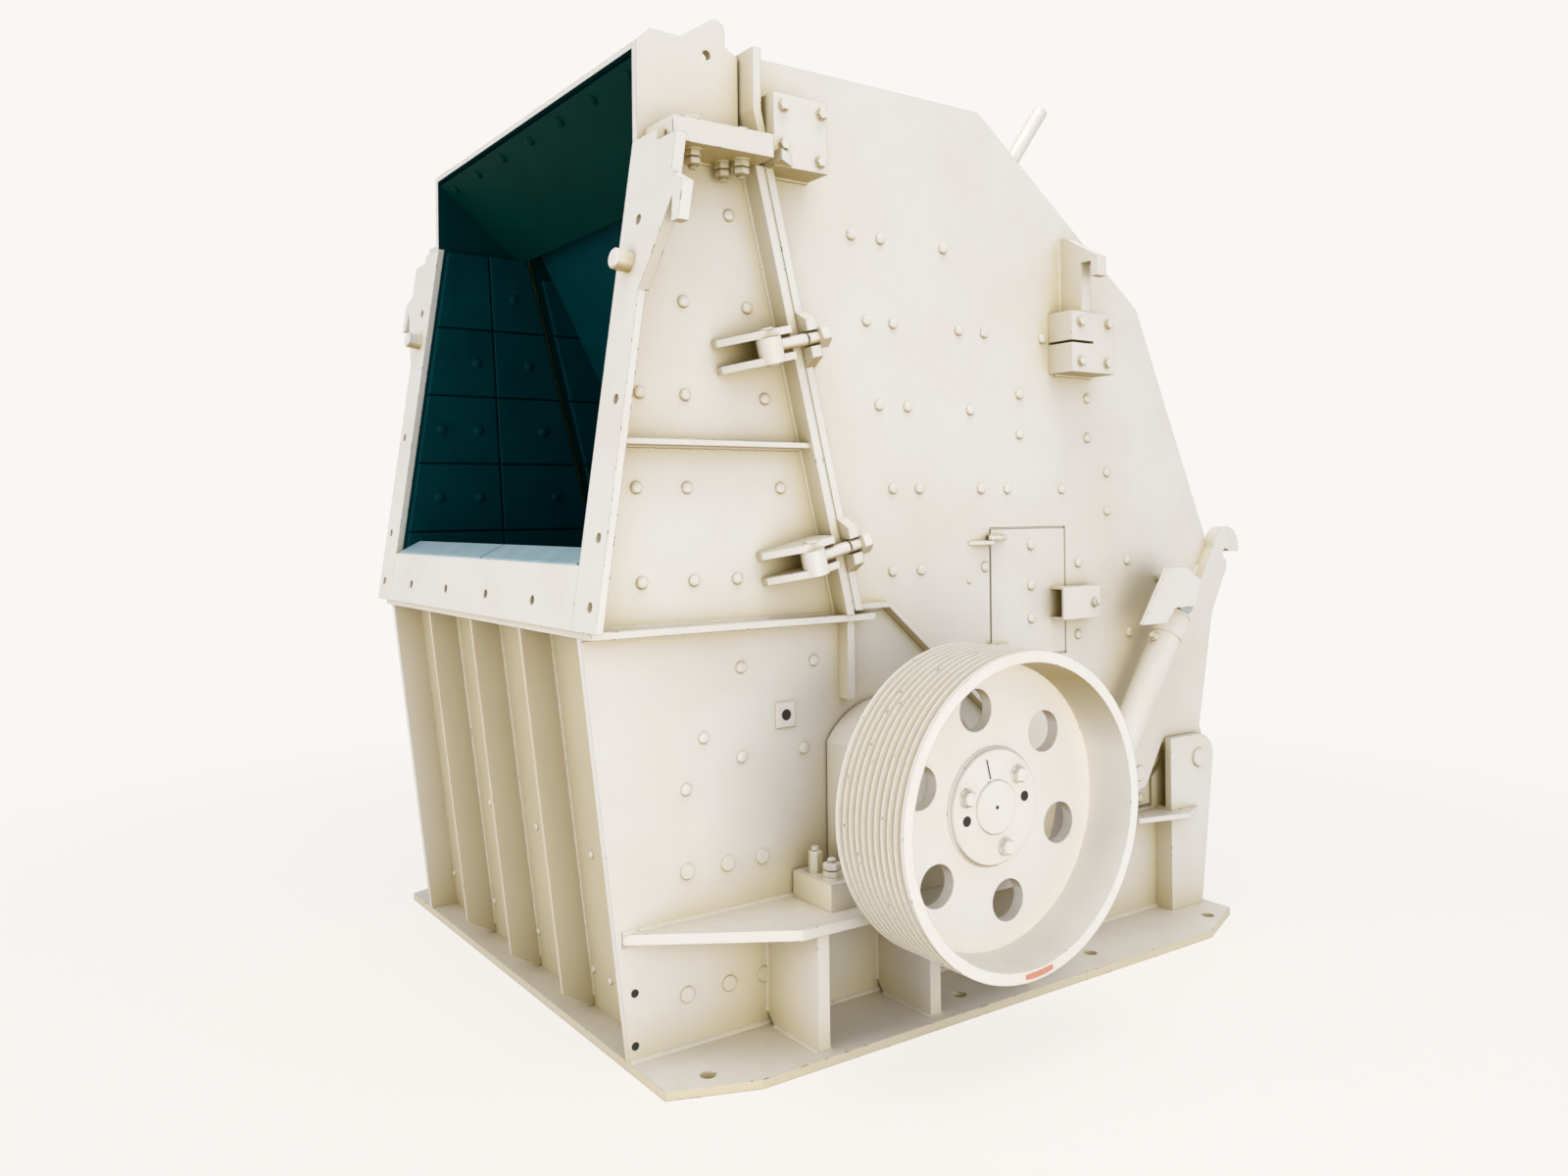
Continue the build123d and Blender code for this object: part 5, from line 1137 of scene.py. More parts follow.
@dataclass
class InletHousing(Assembly):
    """Fittings of the inlet housing: liner bolts, welds, mouth plug, joint packing and feed lip."""

    hood_under: float = 2443.0
    hood_over: float = 2507.0
    frame_thick: float = 22.0
    flange_gap: float = 3.25
    flange_thick: float = 27.0
    packing_inset: float = 14.0
    packing_out: float = 66.0
    packing_play: float = 0.5
    packing_ends: Flat = (14.0, 2.0)
    rib_z: float = 1668.0
    rib_half: float = 8.0
    rib_start: float = 6.0
    sill_top: float = 1345.0
    rows: Rows = (
        (-1124.0, -963.0, -823.0), (-1138.0, -982.0, -673.0), (-1126.0, -985.0, -724.0), (-988.0, -781.0), (-839.0,))
    plug: Point = (-1175.0, -847.0, 2133.0)
    plug_axis: Point = (-1.0, 0.0, 0.15)
    plug_profile: Profile = ((28.0, SEAT_DEPTH), (28.0, 46.0), (24.0, 50.0))
    lip_joint_y: float = -60.0
    lip_gap: float = 12.0
    lip_end: float = 24.0
    lip_profile: Profile = ((-18.0, -2.0), (70.0, -2.0), (70.0, 38.0), (58.0, 42.0), (-18.0, 4.0))

    def build(self) -> None:
        """Builds and dresses the fittings of the inlet housing."""
        self.painted(self.bolts(), Body.FIXED)
        self.painted(self.welds(), Body.FIXED)
        self.lip().piece(self.finishes.wear_plate, Body.FIXED, Slot.IRON)
        self.painted(self.packing(), Body.FIXED)

    def packing(self) -> Shaper:
        """Shapes the painted packing strips between the joint flanges.

        Returns:
            Strips of both sides.
        """
        strips = Shaper("joint_packing")
        front, back = -self.flange_gap, self.flange_gap - self.packing_play
        heights = SidePlates.deck_top + self.packing_ends[0], self.hood_under - self.packing_ends[1]
        for side in Side:
            inner = side.value * (SidePlates.inner_half + self.packing_inset)
            outer = on_plate(side, 0.0, 0.0, self.packing_out)[1]
            corners = ((front, inner), (back, inner), (back, outer), (front, outer))
            strips.rings([[Vector((split_x(z) + x, y, z)) for x, y in corners] for z in heights])
        return strips

    def bolts(self) -> Shaper:
        """Shapes the liner bolts of the side plates and the plugs on the mouth bars.

        Returns:
            Fasteners of both sides.
        """
        bolts = Shaper("inlet_side_bolts")
        for side in Side:
            for step, row in enumerate(self.rows):
                for x in row:
                    bolts.fastener(Head.LINER_BOLT, on_plate(side, x, row_z(step)), outward(side),
                                   SidePlates.liner_bolt)
            x, y, z = self.plug
            bolts.turned(seat((x, -side.value * y, z), self.plug_axis), 36, self.plug_profile)
        return bolts

    def welds(self) -> Shaper:
        """Shapes the weld beads of both sides.

        Returns:
            Beads along the mouth bars, ribs and flanges.
        """
        beads = Shaper("inlet_welds")
        back = self.flange_gap + self.flange_thick
        deck, hood = SidePlates.deck_top, self.hood_under
        levels = (
            (self.rib_z + self.rib_half, UP), (self.rib_z - self.rib_half, DOWN), (hood, DOWN), (self.hood_over, UP))
        for side in Side:
            out = outward(side)
            mouth_low = on_plate(side, mouth_x(deck) + self.frame_thick, deck)
            joint_low = on_plate(side, split_x(deck) - back, deck)
            beads.weld(mouth_low, joint_low, out, UP)
            beads.weld(mouth_low, on_plate(side, mouth_x(hood) + self.frame_thick, hood), REARWARD, out)
            beads.weld(joint_low, on_plate(side, split_x(hood) - back, hood), FORWARD, out)
            for z, rise in levels:
                beads.weld(on_plate(side, mouth_x(z) + self.frame_thick + self.rib_start, z),
                           on_plate(side, split_x(z) - back, z), out, rise)
        return beads

    def lip(self) -> Shaper:
        """Shapes the two wear bars along the inner edge of the sill.

        Returns:
            The wear bars.
        """
        lip = Shaper("feed_lip_bars")
        face = mouth_x(self.sill_top) + self.frame_thick
        end, half_gap = SidePlates.inner_half - self.lip_end, self.lip_gap / 2
        for span in ((-end, self.lip_joint_y - half_gap), (self.lip_joint_y + half_gap, end)):
            lip.rings([[Vector((face + x, y, self.sill_top + z)) for x, z in self.lip_profile] for y in span])
        return lip


@dataclass
class Hood(Assembly):
    """Fasteners of the hood: joint flange studs and the row inside its front edge."""

    flange_under: float = 2443.0
    flange_over: float = 2507.0
    studs: Profile = ((-1010.0, 97.0), (-850.0, 85.0), (-878.0, 38.0))
    stud_d: float = 26.0
    lining_spot: Flat = (-1088.0, 2685.0)
    lining_down: Point = (-0.631, 0.0, -0.776)
    row_y: tuple[float, ...] = (-690.0, -460.0, -230.0, 0.0, 230.0, 460.0, 690.0)

    def build(self) -> None:
        """Builds and dresses the hood fasteners."""
        self.painted(self.bolts(), Body.FIXED)
        self.inner_bolts().piece(self.finishes.hood_interior, Body.FIXED, Slot.INTERIOR)

    def bolts(self) -> Shaper:
        """Shapes the flange studs with nuts above and below, each turned its own way.

        Returns:
            Fasteners of both sides.
        """
        bolts = Shaper("hood_flange_studs")
        for side in Side:
            for x, out in self.studs:
                turn = x
                bolts.fastener(Head.TALL_STUD, on_plate(side, x, self.flange_under, out), DOWN, self.stud_d, turn)
                bolts.fastener(Head.HEX_BOLT, on_plate(side, x, self.flange_over, out), UP, self.stud_d, turn)
        return bolts

    def inner_bolts(self) -> Shaper:
        """Shapes the row of bolt heads along the front edge of the sloped lining.

        Returns:
            Fasteners of the lining.
        """
        bolts = Shaper("hood_inner_bolts")
        x, z = self.lining_spot
        for y in self.row_y:
            bolts.fastener(Head.LINER_BOLT, (x, y, z), self.lining_down, SidePlates.liner_bolt)
        return bolts


@dataclass
class DrivePulley(Assembly):
    """Flange of the clamping bush on the pulley, its screws, and the mark on the rim."""

    shaft: Flat = (-315.0, 672.0)
    axis: Point = (0.0, -1.0, 0.0)
    web_y: float = -1280.0
    face_y: float = -1420.0
    flange_thick: float = 15.0
    flange_profile: Profile = (
        (167.0, SEAT_DEPTH), (161.0, 1.5), (158.0, 5.0), (158.0, 12.0), (155.0, 15.0), (74.0, 15.0))
    hub_profile: Profile = ((74.0, 2.0), (74.0, 17.0), (71.0, 20.0))
    hub_proud: float = 5.0
    screw_d: float = 25.0
    screw_r: float = 115.0
    screw_angles: tuple[float, ...] = (44.0, 160.0, 286.0)
    jack_hole_r: float = 14.0
    jack_r: float = 110.0
    jack_angles: tuple[float, ...] = (8.0, 192.0)
    centre_hole_r: float = 5.0
    slit_angle: float = 104.0
    slit_radii: Flat = (81.0, 136.0)
    slit_half: float = 1.8
    slit_proud: float = 0.8
    mark_angles: Flat = (-93.0, -79.0)
    mark_radii: Flat = (411.0, 427.0)
    mark_steps: int = 6
    mark_taper: float = 2.0
    mark_proud: float = 0.2

    def spot(self, radius: float, angle: float, y: float) -> Point:
        """Place on the pulley by radius and angle."""
        a = math.radians(angle)
        return self.shaft[0] + radius * math.cos(a), y, self.shaft[1] + radius * math.sin(a)

    def build(self) -> None:
        """Builds and dresses the pulley fittings."""
        self.flange().piece(self.finishes.pulley_paint, Body.ROTOR, Slot.PAINT)
        # The dark hole mouths and the slit are painted shade.
        self.hole_shade_discs().piece(self.finishes.bore, Body.ROTOR, Slot.IRON)
        self.mark().piece(self.finishes.mark, Body.ROTOR, Slot.PAINT)

    def flange(self) -> Shaper:
        """Shapes the bush flange with its screws and the shaft end.

        Returns:
            Solids of the flange.
        """
        flange = Shaper("bush_flange")
        place = seat(self.spot(0.0, 0.0, self.web_y), self.axis)
        flange.turned(place, 72, self.flange_profile)
        flange.turned(place, 48, self.hub_profile)
        front = self.web_y - self.flange_thick
        for angle in self.screw_angles:
            flange.fastener(Head.HEX_BOLT, self.spot(self.screw_r, angle, front), self.axis, self.screw_d, angle)
        return flange

    def hole_shade_discs(self) -> Shaper:
        """Shapes the dark discs of painted shade in the jack holes, the centre hole and the slit of the bush.

        Returns:
            Hole mouths on the flange.
        """
        hole_shade_discs = Shaper("bush_hole_shade")
        front = self.web_y - self.flange_thick
        for angle in self.jack_angles:
            hole_shade_discs.hole_mouth(seat(self.spot(self.jack_r, angle, front), self.axis), self.jack_hole_r, 24)
        hole_shade_discs.hole_mouth(seat(self.spot(0.0, 0.0, front - self.hub_proud), self.axis), self.centre_hole_r, 16)
        a = math.radians(self.slit_angle)
        run, across = Vector((math.cos(a), 0.0, math.sin(a))), Vector((-math.sin(a), 0.0, math.cos(a))) * self.slit_half
        sunk, proud = Vector((0.0, -SEAT_DEPTH, 0.0)), Vector((0.0, -self.slit_proud, 0.0))
        middles = [Vector(self.spot(0.0, 0.0, front)) + run * radius for radius in self.slit_radii]
        hole_shade_discs.rings([[mid - across + sunk, mid + across + sunk, mid + across + proud, mid - across + proud]
                     for mid in middles])
        return hole_shade_discs

    def mark(self) -> Shaper:
        """Shapes the patch of marking paint on the rim.

        Returns:
            The thin patch.
        """
        mark = Shaper("pulley_rim_mark")
        low, high = self.mark_angles
        sunk, proud = self.face_y - SEAT_DEPTH, self.face_y - self.mark_proud
        loops = []
        for step in range(self.mark_steps + 1):
            angle = low + (high - low) * step / self.mark_steps
            taper = self.mark_taper if step in (0, self.mark_steps) else 0.0
            inner, outer = self.mark_radii[0] + taper, self.mark_radii[1] - taper
            loops.append([Vector(self.spot(radius, angle, y)) for radius, y in (
                (inner, sunk), (outer, sunk), (outer, proud), (inner, proud))])
        mark.rings(loops)
        return mark


@dataclass
class RearHousing(Assembly):
    """Fittings of the hinged rear housing: liner bolts, welds and pivot block bolts."""

    sill: float = 1187.0
    split_back: float = 30.25
    rows: Rows = (
        (-256.0, -140.0, 134.0, 578.0, 836.0), (-252.0, -145.0, 120.0, 240.0, 499.0), (-303.0, -189.0, 76.0),
        (-349.0, -245.0, 29.0, 141.0, 411.0), (-405.0, -292.0, -35.0))
    single_bolts: Profile = (
        (300.0, 1863.0), (299.0, 1730.0), (632.0, 1863.0), (631.0, 1726.0), (731.0, 1607.0), (730.0, 1471.0),
        (575.0, 1045.0), (842.0, 1034.0), (892.0, 432.0))
    block_out: float = 105.0
    block_bolt: float = 18.0
    block_bolts: Profile = (
        (-721.0, 2609.0), (-590.0, 2607.0), (-596.0, 2470.0), (-722.0, 2500.0),
        (485.0, 2107.0), (621.0, 2107.0), (485.0, 1974.0), (614.0, 1974.0))
    slope_path: Profile = ((600.0, 405.0), (-303.0, 1187.0))
    hook_faces: Flat = (500.0, 545.0)
    hook_span: Flat = (2143.0, 2398.0)
    blocks: tuple[tuple[Flat, Flat], ...] = (((-661.0, 2542.0), (185.0, 205.0)), ((548.0, 2040.0), (212.0, 205.0)))
    block_lead: float = 25.0
    arm_edge: Profile = ((791.0, 567.0), (1237.0, 1263.0))
    arm_out: float = 40.0
    leg_pin: Flat = (841.0, 534.0)
    leg_pin_d: float = 56.0
    grease_plug: Flat = (64.0, 1249.0)
    grease_plug_d: float = 11.0
    sill_lift: float = 16.0
    wall_setback: float = 10.0
    walls: tuple[tuple[Flat, Flat, tuple[float, ...]], ...] = (
        ((-790.0, 2770.0), (124.0, 2770.0), (0.3, 0.62)), ((124.0, 2770.0), (900.0, 2195.0), (0.12, 0.58, 0.86)),
        ((900.0, 2195.0), (1295.0, 1345.0), (0.16, 0.5, 0.84)), ((1295.0, 1345.0), (1185.0, 672.0), (0.2, 0.55)))
    wall_y: tuple[float, ...] = (-630.0, -210.0, 210.0, 630.0)

    def build(self) -> None:
        """Builds and dresses the fittings of the rear housing."""
        self.painted(self.bolts(), Body.REAR)
        self.painted(self.welds(), Body.REAR)
        self.painted(self.wall_bolts(), Body.REAR)

    def wall_bolts(self) -> Shaper:
        """Shapes the liner bolts of the roof and the back plates.

        Returns:
            Fasteners of the walls between the sides.
        """
        bolts = Shaper("rear_wall_bolts")
        for start, end, shares in self.walls:
            run = Vector((end[0] - start[0], end[1] - start[1])).normalized()
            out = (-run.y, 0.0, run.x)
            for share in shares:
                x = start[0] + (end[0] - start[0]) * share - out[0] * self.wall_setback
                z = start[1] + (end[1] - start[1]) * share - out[2] * self.wall_setback
                for y in self.wall_y:
                    bolts.fastener(Head.LINER_BOLT, (x, y, z), out, SidePlates.liner_bolt)
        return bolts

    def bolts(self) -> Shaper:
        """Shapes the liner bolts, the pivot block bolts and the pins of the arms.

        Returns:
            Fasteners of both sides.
        """
        bolts = Shaper("rear_side_bolts")
        spots = [(x, row_z(step)) for step, row in enumerate(self.rows) for x in row]
        for side in Side:
            out = outward(side)
            for x, z in spots + list(self.single_bolts):
                bolts.fastener(Head.LINER_BOLT, on_plate(side, x, z), out, SidePlates.liner_bolt)
            for x, z in self.block_bolts:
                turn = x
                bolts.fastener(Head.HEX_BOLT, on_plate(side, x, z, self.block_out), out, self.block_bolt, turn)
            bolts.fastener(Head.PLUG, on_plate(side, *self.leg_pin, self.arm_out), out, self.leg_pin_d)
            bolts.fastener(Head.LINER_BOLT, on_plate(side, *self.grease_plug), out, self.grease_plug_d)
        return bolts

    def welds(self) -> Shaper:
        """Shapes the weld beads of both sides.

        Returns:
            Beads along the joint flange, the hooks, the pivot blocks, the arms and the sill.
        """
        beads = Shaper("rear_welds")
        top = SidePlates.joint_head_z
        for side in Side:
            out = outward(side)
            beads.weld(on_plate(side, split_x(self.sill) + self.split_back, self.sill),
                       on_plate(side, split_x(top) + self.split_back, top), REARWARD, out)
            for face, step in zip(self.hook_faces, (-1.0, 1.0)):
                beads.weld(on_plate(side, face, self.hook_span[0]), on_plate(side, face, self.hook_span[1]),
                           (step, 0.0, 0.0), out)
            for (x, z), (length, height) in self.blocks:
                front, back = x - length / 2 + self.block_lead, x + length / 2
                beads.weld(on_plate(side, back, z - height / 2), on_plate(side, back, z + height / 2), REARWARD, out)
                for step in (-1.0, 1.0):
                    level = z + step * height / 2
                    beads.weld(on_plate(side, front, level), on_plate(side, back, level), (0.0, 0.0, step), out)
            self._edge_weld(beads, side, self.arm_edge, 1.0, 0.0)
            self._edge_weld(beads, side, self.slope_path, -1.0, self.sill_lift)
        return beads

    def _edge_weld(self, beads: Shaper, side: Side, path: Profile, turn: float, lift: float) -> None:
        """Welds a plate edge to the side plate.

        Args:
            beads: Shaper that gets the bead.
            side: Side of the machine.
            path: Start and end of the edge in X and Z.
            turn: One where the bead lies to the left of the way along the edge, minus one to the right.
            lift: Distance of the bead from the edge.
        """
        start, end = [Vector((x, 0.0, z)) for x, z in path]
        run = (end - start).normalized()
        aside = Vector((-run.z, 0.0, run.x)) * turn
        first, last = start + aside * lift, end + aside * lift
        beads.weld(on_plate(side, first.x, first.z), on_plate(side, last.x, last.z), tuple(aside), outward(side))


@dataclass
class CylinderBrackets(Assembly):
    """Brackets on the rear side plates that hold the cylinder heads: a cheek on a tapered gusset."""

    cheek: Profile = (
        (694.0, 1080.0), (822.0, 1080.0), (870.0, 1130.0), (991.0, 1130.0), (1018.0, 1218.0), (932.0, 1272.0),
        (830.0, 1272.0))
    gusset_out: Profile = ((923.5, 1258.4), (1009.5, 1204.4), (1018.0, 1218.0), (932.0, 1272.0))
    gusset_in: Profile = ((991.6, 1215.6), (1009.5, 1204.4), (1018.0, 1218.0), (1000.1, 1229.2))
    inner_out: float = 165.0
    plate: float = 16.0

    def build(self) -> None:
        """Builds and dresses the brackets in place of the plain ones."""
        brackets = Shaper("cylinder_bracket_plates")
        solids = (((self.cheek, self.inner_out), (self.cheek, self.inner_out + self.plate)),
                  ((self.gusset_in, 0.0), (self.gusset_out, self.inner_out)))
        for side in Side:
            for levels in solids:
                brackets.rings([[Vector(on_plate(side, x, z, out)) for x, z in loop] for loop, out in levels])
        brackets.piece(self.finishes.paint, Body.REAR, Slot.PAINT, "cylinder_brackets")


@dataclass
class InspectionDoor(Assembly):
    """Landing frame, seal and bolts of the inspection door."""

    bolt_x: float = 346.0
    bolt_z: tuple[float, ...] = (1359.0, 1224.0, 1113.0)
    latch_bolt: Flat = (590.0, 1158.0)
    latch_out: float = 60.0
    latch_nut: float = 18.0
    latch_turn: float = 12.0
    opening_x: Flat = (156.0, 515.0)
    opening_z: Flat = (985.0, 1420.0)
    landing: Profile = (
        (-22.0, -775.5), (-2.0, -775.5), (-2.0, -768.0), (18.0, -768.0), (18.0, -757.0), (-22.0, -757.0))
    seal: Profile = ((0.5, -767.5), (5.4, -767.5), (5.4, -797.5), (0.5, -797.5))

    def build(self) -> None:
        """Builds and dresses the landing frame and the door bolts."""
        self.painted(self.landing_frame(), Body.REAR)
        self.painted(self.bolts(), Body.DOOR)

    def landing_frame(self) -> Shaper:
        """Shapes the frame inside the side plate that the door lands on, and the seal strips in its gap.

        Returns:
            Four angle bars round the opening, and the strips on its free edges.
        """
        bars = Shaper("door_landing_frame")
        reach = -self.landing[0][0]
        heights = (self.opening_z[0] - reach, self.opening_z[1] + reach)
        for edge, inward in zip(self.opening_x, (1.0, -1.0)):
            bars.rings([[Vector((edge + inward * d, y, z)) for d, y in self.landing] for z in heights])
        for edge, inward in zip(self.opening_z, (1.0, -1.0)):
            for section in (self.landing, self.seal):
                bars.rings([[Vector((x, y, edge + inward * d)) for d, y in section] for x in self.opening_x])
        bars.rings([[Vector((self.opening_x[1] - d, y, z)) for d, y in self.seal] for z in self.opening_z])
        return bars

    def bolts(self) -> Shaper:
        """Shapes the door bolts and the nut of the latch.

        Returns:
            Fasteners of the door.
        """
        bolts = Shaper("door_bolts")
        out = outward(Side.NEAR)
        for z in self.bolt_z:
            bolts.fastener(Head.LINER_BOLT, on_plate(Side.NEAR, self.bolt_x, z), out, SidePlates.liner_bolt)
        spot = on_plate(Side.NEAR, *self.latch_bolt, self.latch_out)
        bolts.fastener(Head.HEX_NUT, spot, out, self.latch_nut, self.latch_turn)
        return bolts


@dataclass
class InnerLining(Assembly):
    """Bolted wear tiles inside the side plates, in bands between the bolt rows."""

    thick: float = 20.0
    seam: float = 5.0
    chamfer: float = 4.0
    edge: float = 30.0
    joint_edge: float = 8.0
    inlet_bands: tuple[float, ...] = (1345.0, 1420.0, 1674.0, 1928.0, 2182.0, 2468.0)
    rear_bands: tuple[float, ...] = (1260.0, 1450.0, 1674.0, 1928.0, 2182.0, 2400.0)
    rear_back: float = 450.0
    beside_door: float = 126.0

    def build(self) -> None:
        """Builds and dresses the tiles in place of the plain liners."""
        self.inlet_tiles().piece(self.finishes.interior, Body.FIXED, Slot.INTERIOR, "inlet_liners")
        self.rear_tiles().piece(self.finishes.interior, Body.REAR, Slot.INTERIOR, "rear_liners")

    def band(self, tiles: Shaper, side: Side, heights: Flat, ends: Sequence[tuple[float, ...]]) -> None:
        """Lays one band of tiles.

        Args:
            tiles: Shaper that gets the tiles.
            side: Side of the machine.
            heights: Lower and upper edge of the band.
            ends: X of each tile boundary at the lower and at the upper edge.
        """
        half = self.seam / 2
        low, high = heights[0] + half, heights[1] - half
        back = side.value * SidePlates.inner_half
        for left, right in zip(ends, ends[1:]):
            outline = [(left[0] + half, low), (right[0] - half, low), (right[1] - half, high), (left[1] + half, high)]
            tiles.upright(outline, back, back - side.value * self.thick, self.chamfer)

    def inlet_tiles(self) -> Shaper:
        """Shapes the tiles of the inlet housing and the heads of their bolts.

        Returns:
            Tiles of both sides.
        """
        tiles = Shaper("inlet_wear_tiles")
        for side in Side:
            for heights in zip(self.inlet_bands, self.inlet_bands[1:]):
                front = tuple(mouth_x(z) + self.edge for z in heights)
                back = tuple(split_x(z) - self.joint_edge for z in heights)
                middle = tuple((f + b) / 2 for f, b in zip(front, back))
                self.band(tiles, side, heights, (front, middle, back))
            for step, row in enumerate(InletHousing.rows):
                self._heads(tiles, side, [(x, row_z(step)) for x in row if step])
        return tiles

    def rear_tiles(self) -> Shaper:
        """Shapes the tiles of the rear housing and the heads of their bolts.

        Returns:
            Tiles of both sides.
        """
        tiles = Shaper("rear_wear_tiles")
        for side in Side:
            for heights in zip(self.rear_bands, self.rear_bands[1:]):
                last, columns = (self.beside_door, 2) if heights[0] < self.rear_bands[1] else (self.rear_back, 3)
                front = [split_x(z) + self.edge for z in heights]
                ends = [tuple(f + (last - f) * i / columns for f in front) for i in range(columns + 1)]
                self.band(tiles, side, heights, ends)
            for step, row in enumerate(RearHousing.rows):
                limit = self.rear_back if step else 0.0
                self._heads(tiles, side, [(x, row_z(step)) for x in row if x < limit])
        return tiles

    def _heads(self, tiles: Shaper, side: Side, spots: Iterable[Flat]) -> None:
        """Adds the bolt heads on the faces of the tiles.

        Args:
            tiles: Shaper that gets the heads.
            side: Side of the machine.
            spots: X and Z of each head.
        """
        face = side.value * (SidePlates.inner_half - self.thick)
        for x, z in spots:
            tiles.fastener(Head.LINER_BOLT, (x, face, z), (0.0, -side.value, 0.0), SidePlates.liner_bolt)


@dataclass
class SwingClamps(Assembly):
    """Pins and nuts of the swing bolt clamps on the joint."""

    heights: Flat = (1965.0, 1375.0)
    square: Point = (0.9719, 0.0, 0.2353)
    along: Point = (-0.2353, 0.0, 0.9719)
    bolt_out: float = 97.0
    eye_back: float = 126.25
    lug_half: float = 48.0
    nut_from: float = 39.4
    nut_turn: float = 15.0
    nut: Profile = ((34.5, 0.0), (34.5, 28.4), (30.5, 32.4))
    pin_d: float = 40.0

    def build(self) -> None:
        """Builds and dresses the pins and the nuts."""
        pins, nuts = Shaper("clamp_pins"), Shaper("clamp_nuts")
        square, along = Vector(self.square), Vector(self.along)
        for side in Side:
            for z in self.heights:
                joint = Vector(on_plate(side, split_x(z), z, self.bolt_out))
                eye = joint - square * self.eye_back
                for axis in (along, -along):
                    pins.fastener(Head.PLUG, tuple(eye + axis * self.lug_half), tuple(axis), self.pin_d)
                nuts.turned(seat(joint + square * self.nut_from, self.square, self.nut_turn), 6, self.nut)
        self.painted(pins, Body.FIXED)
        self.painted(nuts, Body.REAR)


@dataclass
class OpeningCylinders(Assembly):
    """Glands, end caps and hose ports of the two opening cylinders."""

    foot: Flat = (506.0, 425.0)
    head: Flat = (994.0, 1140.0)
    middle_out: float = 105.0
    rod_r: float = 26.5
    ring_r: float = 54.5
    ring_chamfer: float = 2.0
    groove_depth: float = 1.5
    groove_from_end: tuple[float, ...] = (14.0, 12.0, 9.0, 7.0)
    gland_at: float = 722.0
    gland_long: float = 96.0
    cap_at: float = 96.0
    cap_long: float = 30.0
    cap_wall: float = 6.0
    ports_at: tuple[float, ...] = (150.0, 690.0)
    port_sink: float = 6.0
    port: Profile = ((17.0, -8.0), (17.0, 12.0), (15.0, 14.0))
    port_nut_rise: float = 7.0
    port_nut_turn: float = 20.0
    port_nut: Profile = ((13.0, 0.0), (13.0, 9.0), (11.0, 11.0))

    def build(self) -> None:
        """Builds and dresses the rings and ports of each barrel."""
        for side, body in ((Side.NEAR, Body.BARREL_NEAR), (Side.FAR, Body.BARREL_FAR)):
            self.painted(self.rings(side), body)

    def ring_profile(self, bore: float, length: float) -> list[Flat]:
        """Section of a ring with a groove near its end.

        Args:
            bore: Radius of the hole.
            length: Length of the ring.

        Returns:
            Radius and height of its corners, round the hole.
        """
        outer, slope = self.ring_r, self.ring_chamfer
        floor = outer - self.groove_depth
        lip, low, high, shoulder = [length - back for back in self.groove_from_end]
        return [(bore, 0.0), (outer - slope, 0.0), (outer, slope), (outer, lip), (floor, low), (floor, high),
                (outer, shoulder), (outer, length - slope), (outer - slope, length), (bore, length)]

    def rings(self, side: Side) -> Shaper:
        """Shapes the gland, the end cap and the ports of one barrel.

        Args:
            side: Side of the machine.

        Returns:
            Solids on the barrel.
        """
        rings = Shaper("cylinder_rings_" + side.name.lower())
        run = Vector((self.head[0] - self.foot[0], 0.0, self.head[1] - self.foot[1])).normalized()
        square = Vector((-run.z, 0.0, run.x))
        start = Vector(on_plate(side, *self.foot, self.middle_out))
        for at, length, bore in ((self.gland_at, self.gland_long, self.rod_r),
                                 (self.cap_at, self.cap_long, self.ring_r - self.cap_wall)):
            rings.turned(seat(start + run * at, run), 48, self.ring_profile(bore, length), True)
        for at in self.ports_at:
            spot = start + run * at
            rings.turned(seat(spot + square * (self.ring_r - self.port_sink), square), 24, self.port)
            rings.turned(seat(spot + square * (self.ring_r + self.port_nut_rise), square, self.port_nut_turn), 6,
                         self.port_nut)
        return rings


# ------------------------------------------------------------------------------------------ studio


@dataclass(frozen=True)
class Softbox:
    """Square soft lamp; place, aim and size in metres, power in watts."""

    name: str
    place: Point
    aim: Point
    size: float
    power: float

    def build(self) -> None:
        """Hangs the lamp."""
        light = bpy.data.lights.new(self.name, "AREA")
        light.size = self.size
        light.energy = self.power
        lamp = bpy.data.objects.new(self.name, light)
        lamp.location = self.place
        lamp.visible_camera = False
        lamp.rotation_euler = (Vector(self.aim) - Vector(self.place)).to_track_quat("-Z", "Y").to_euler()
        bpy.context.scene.collection.objects.link(lamp)


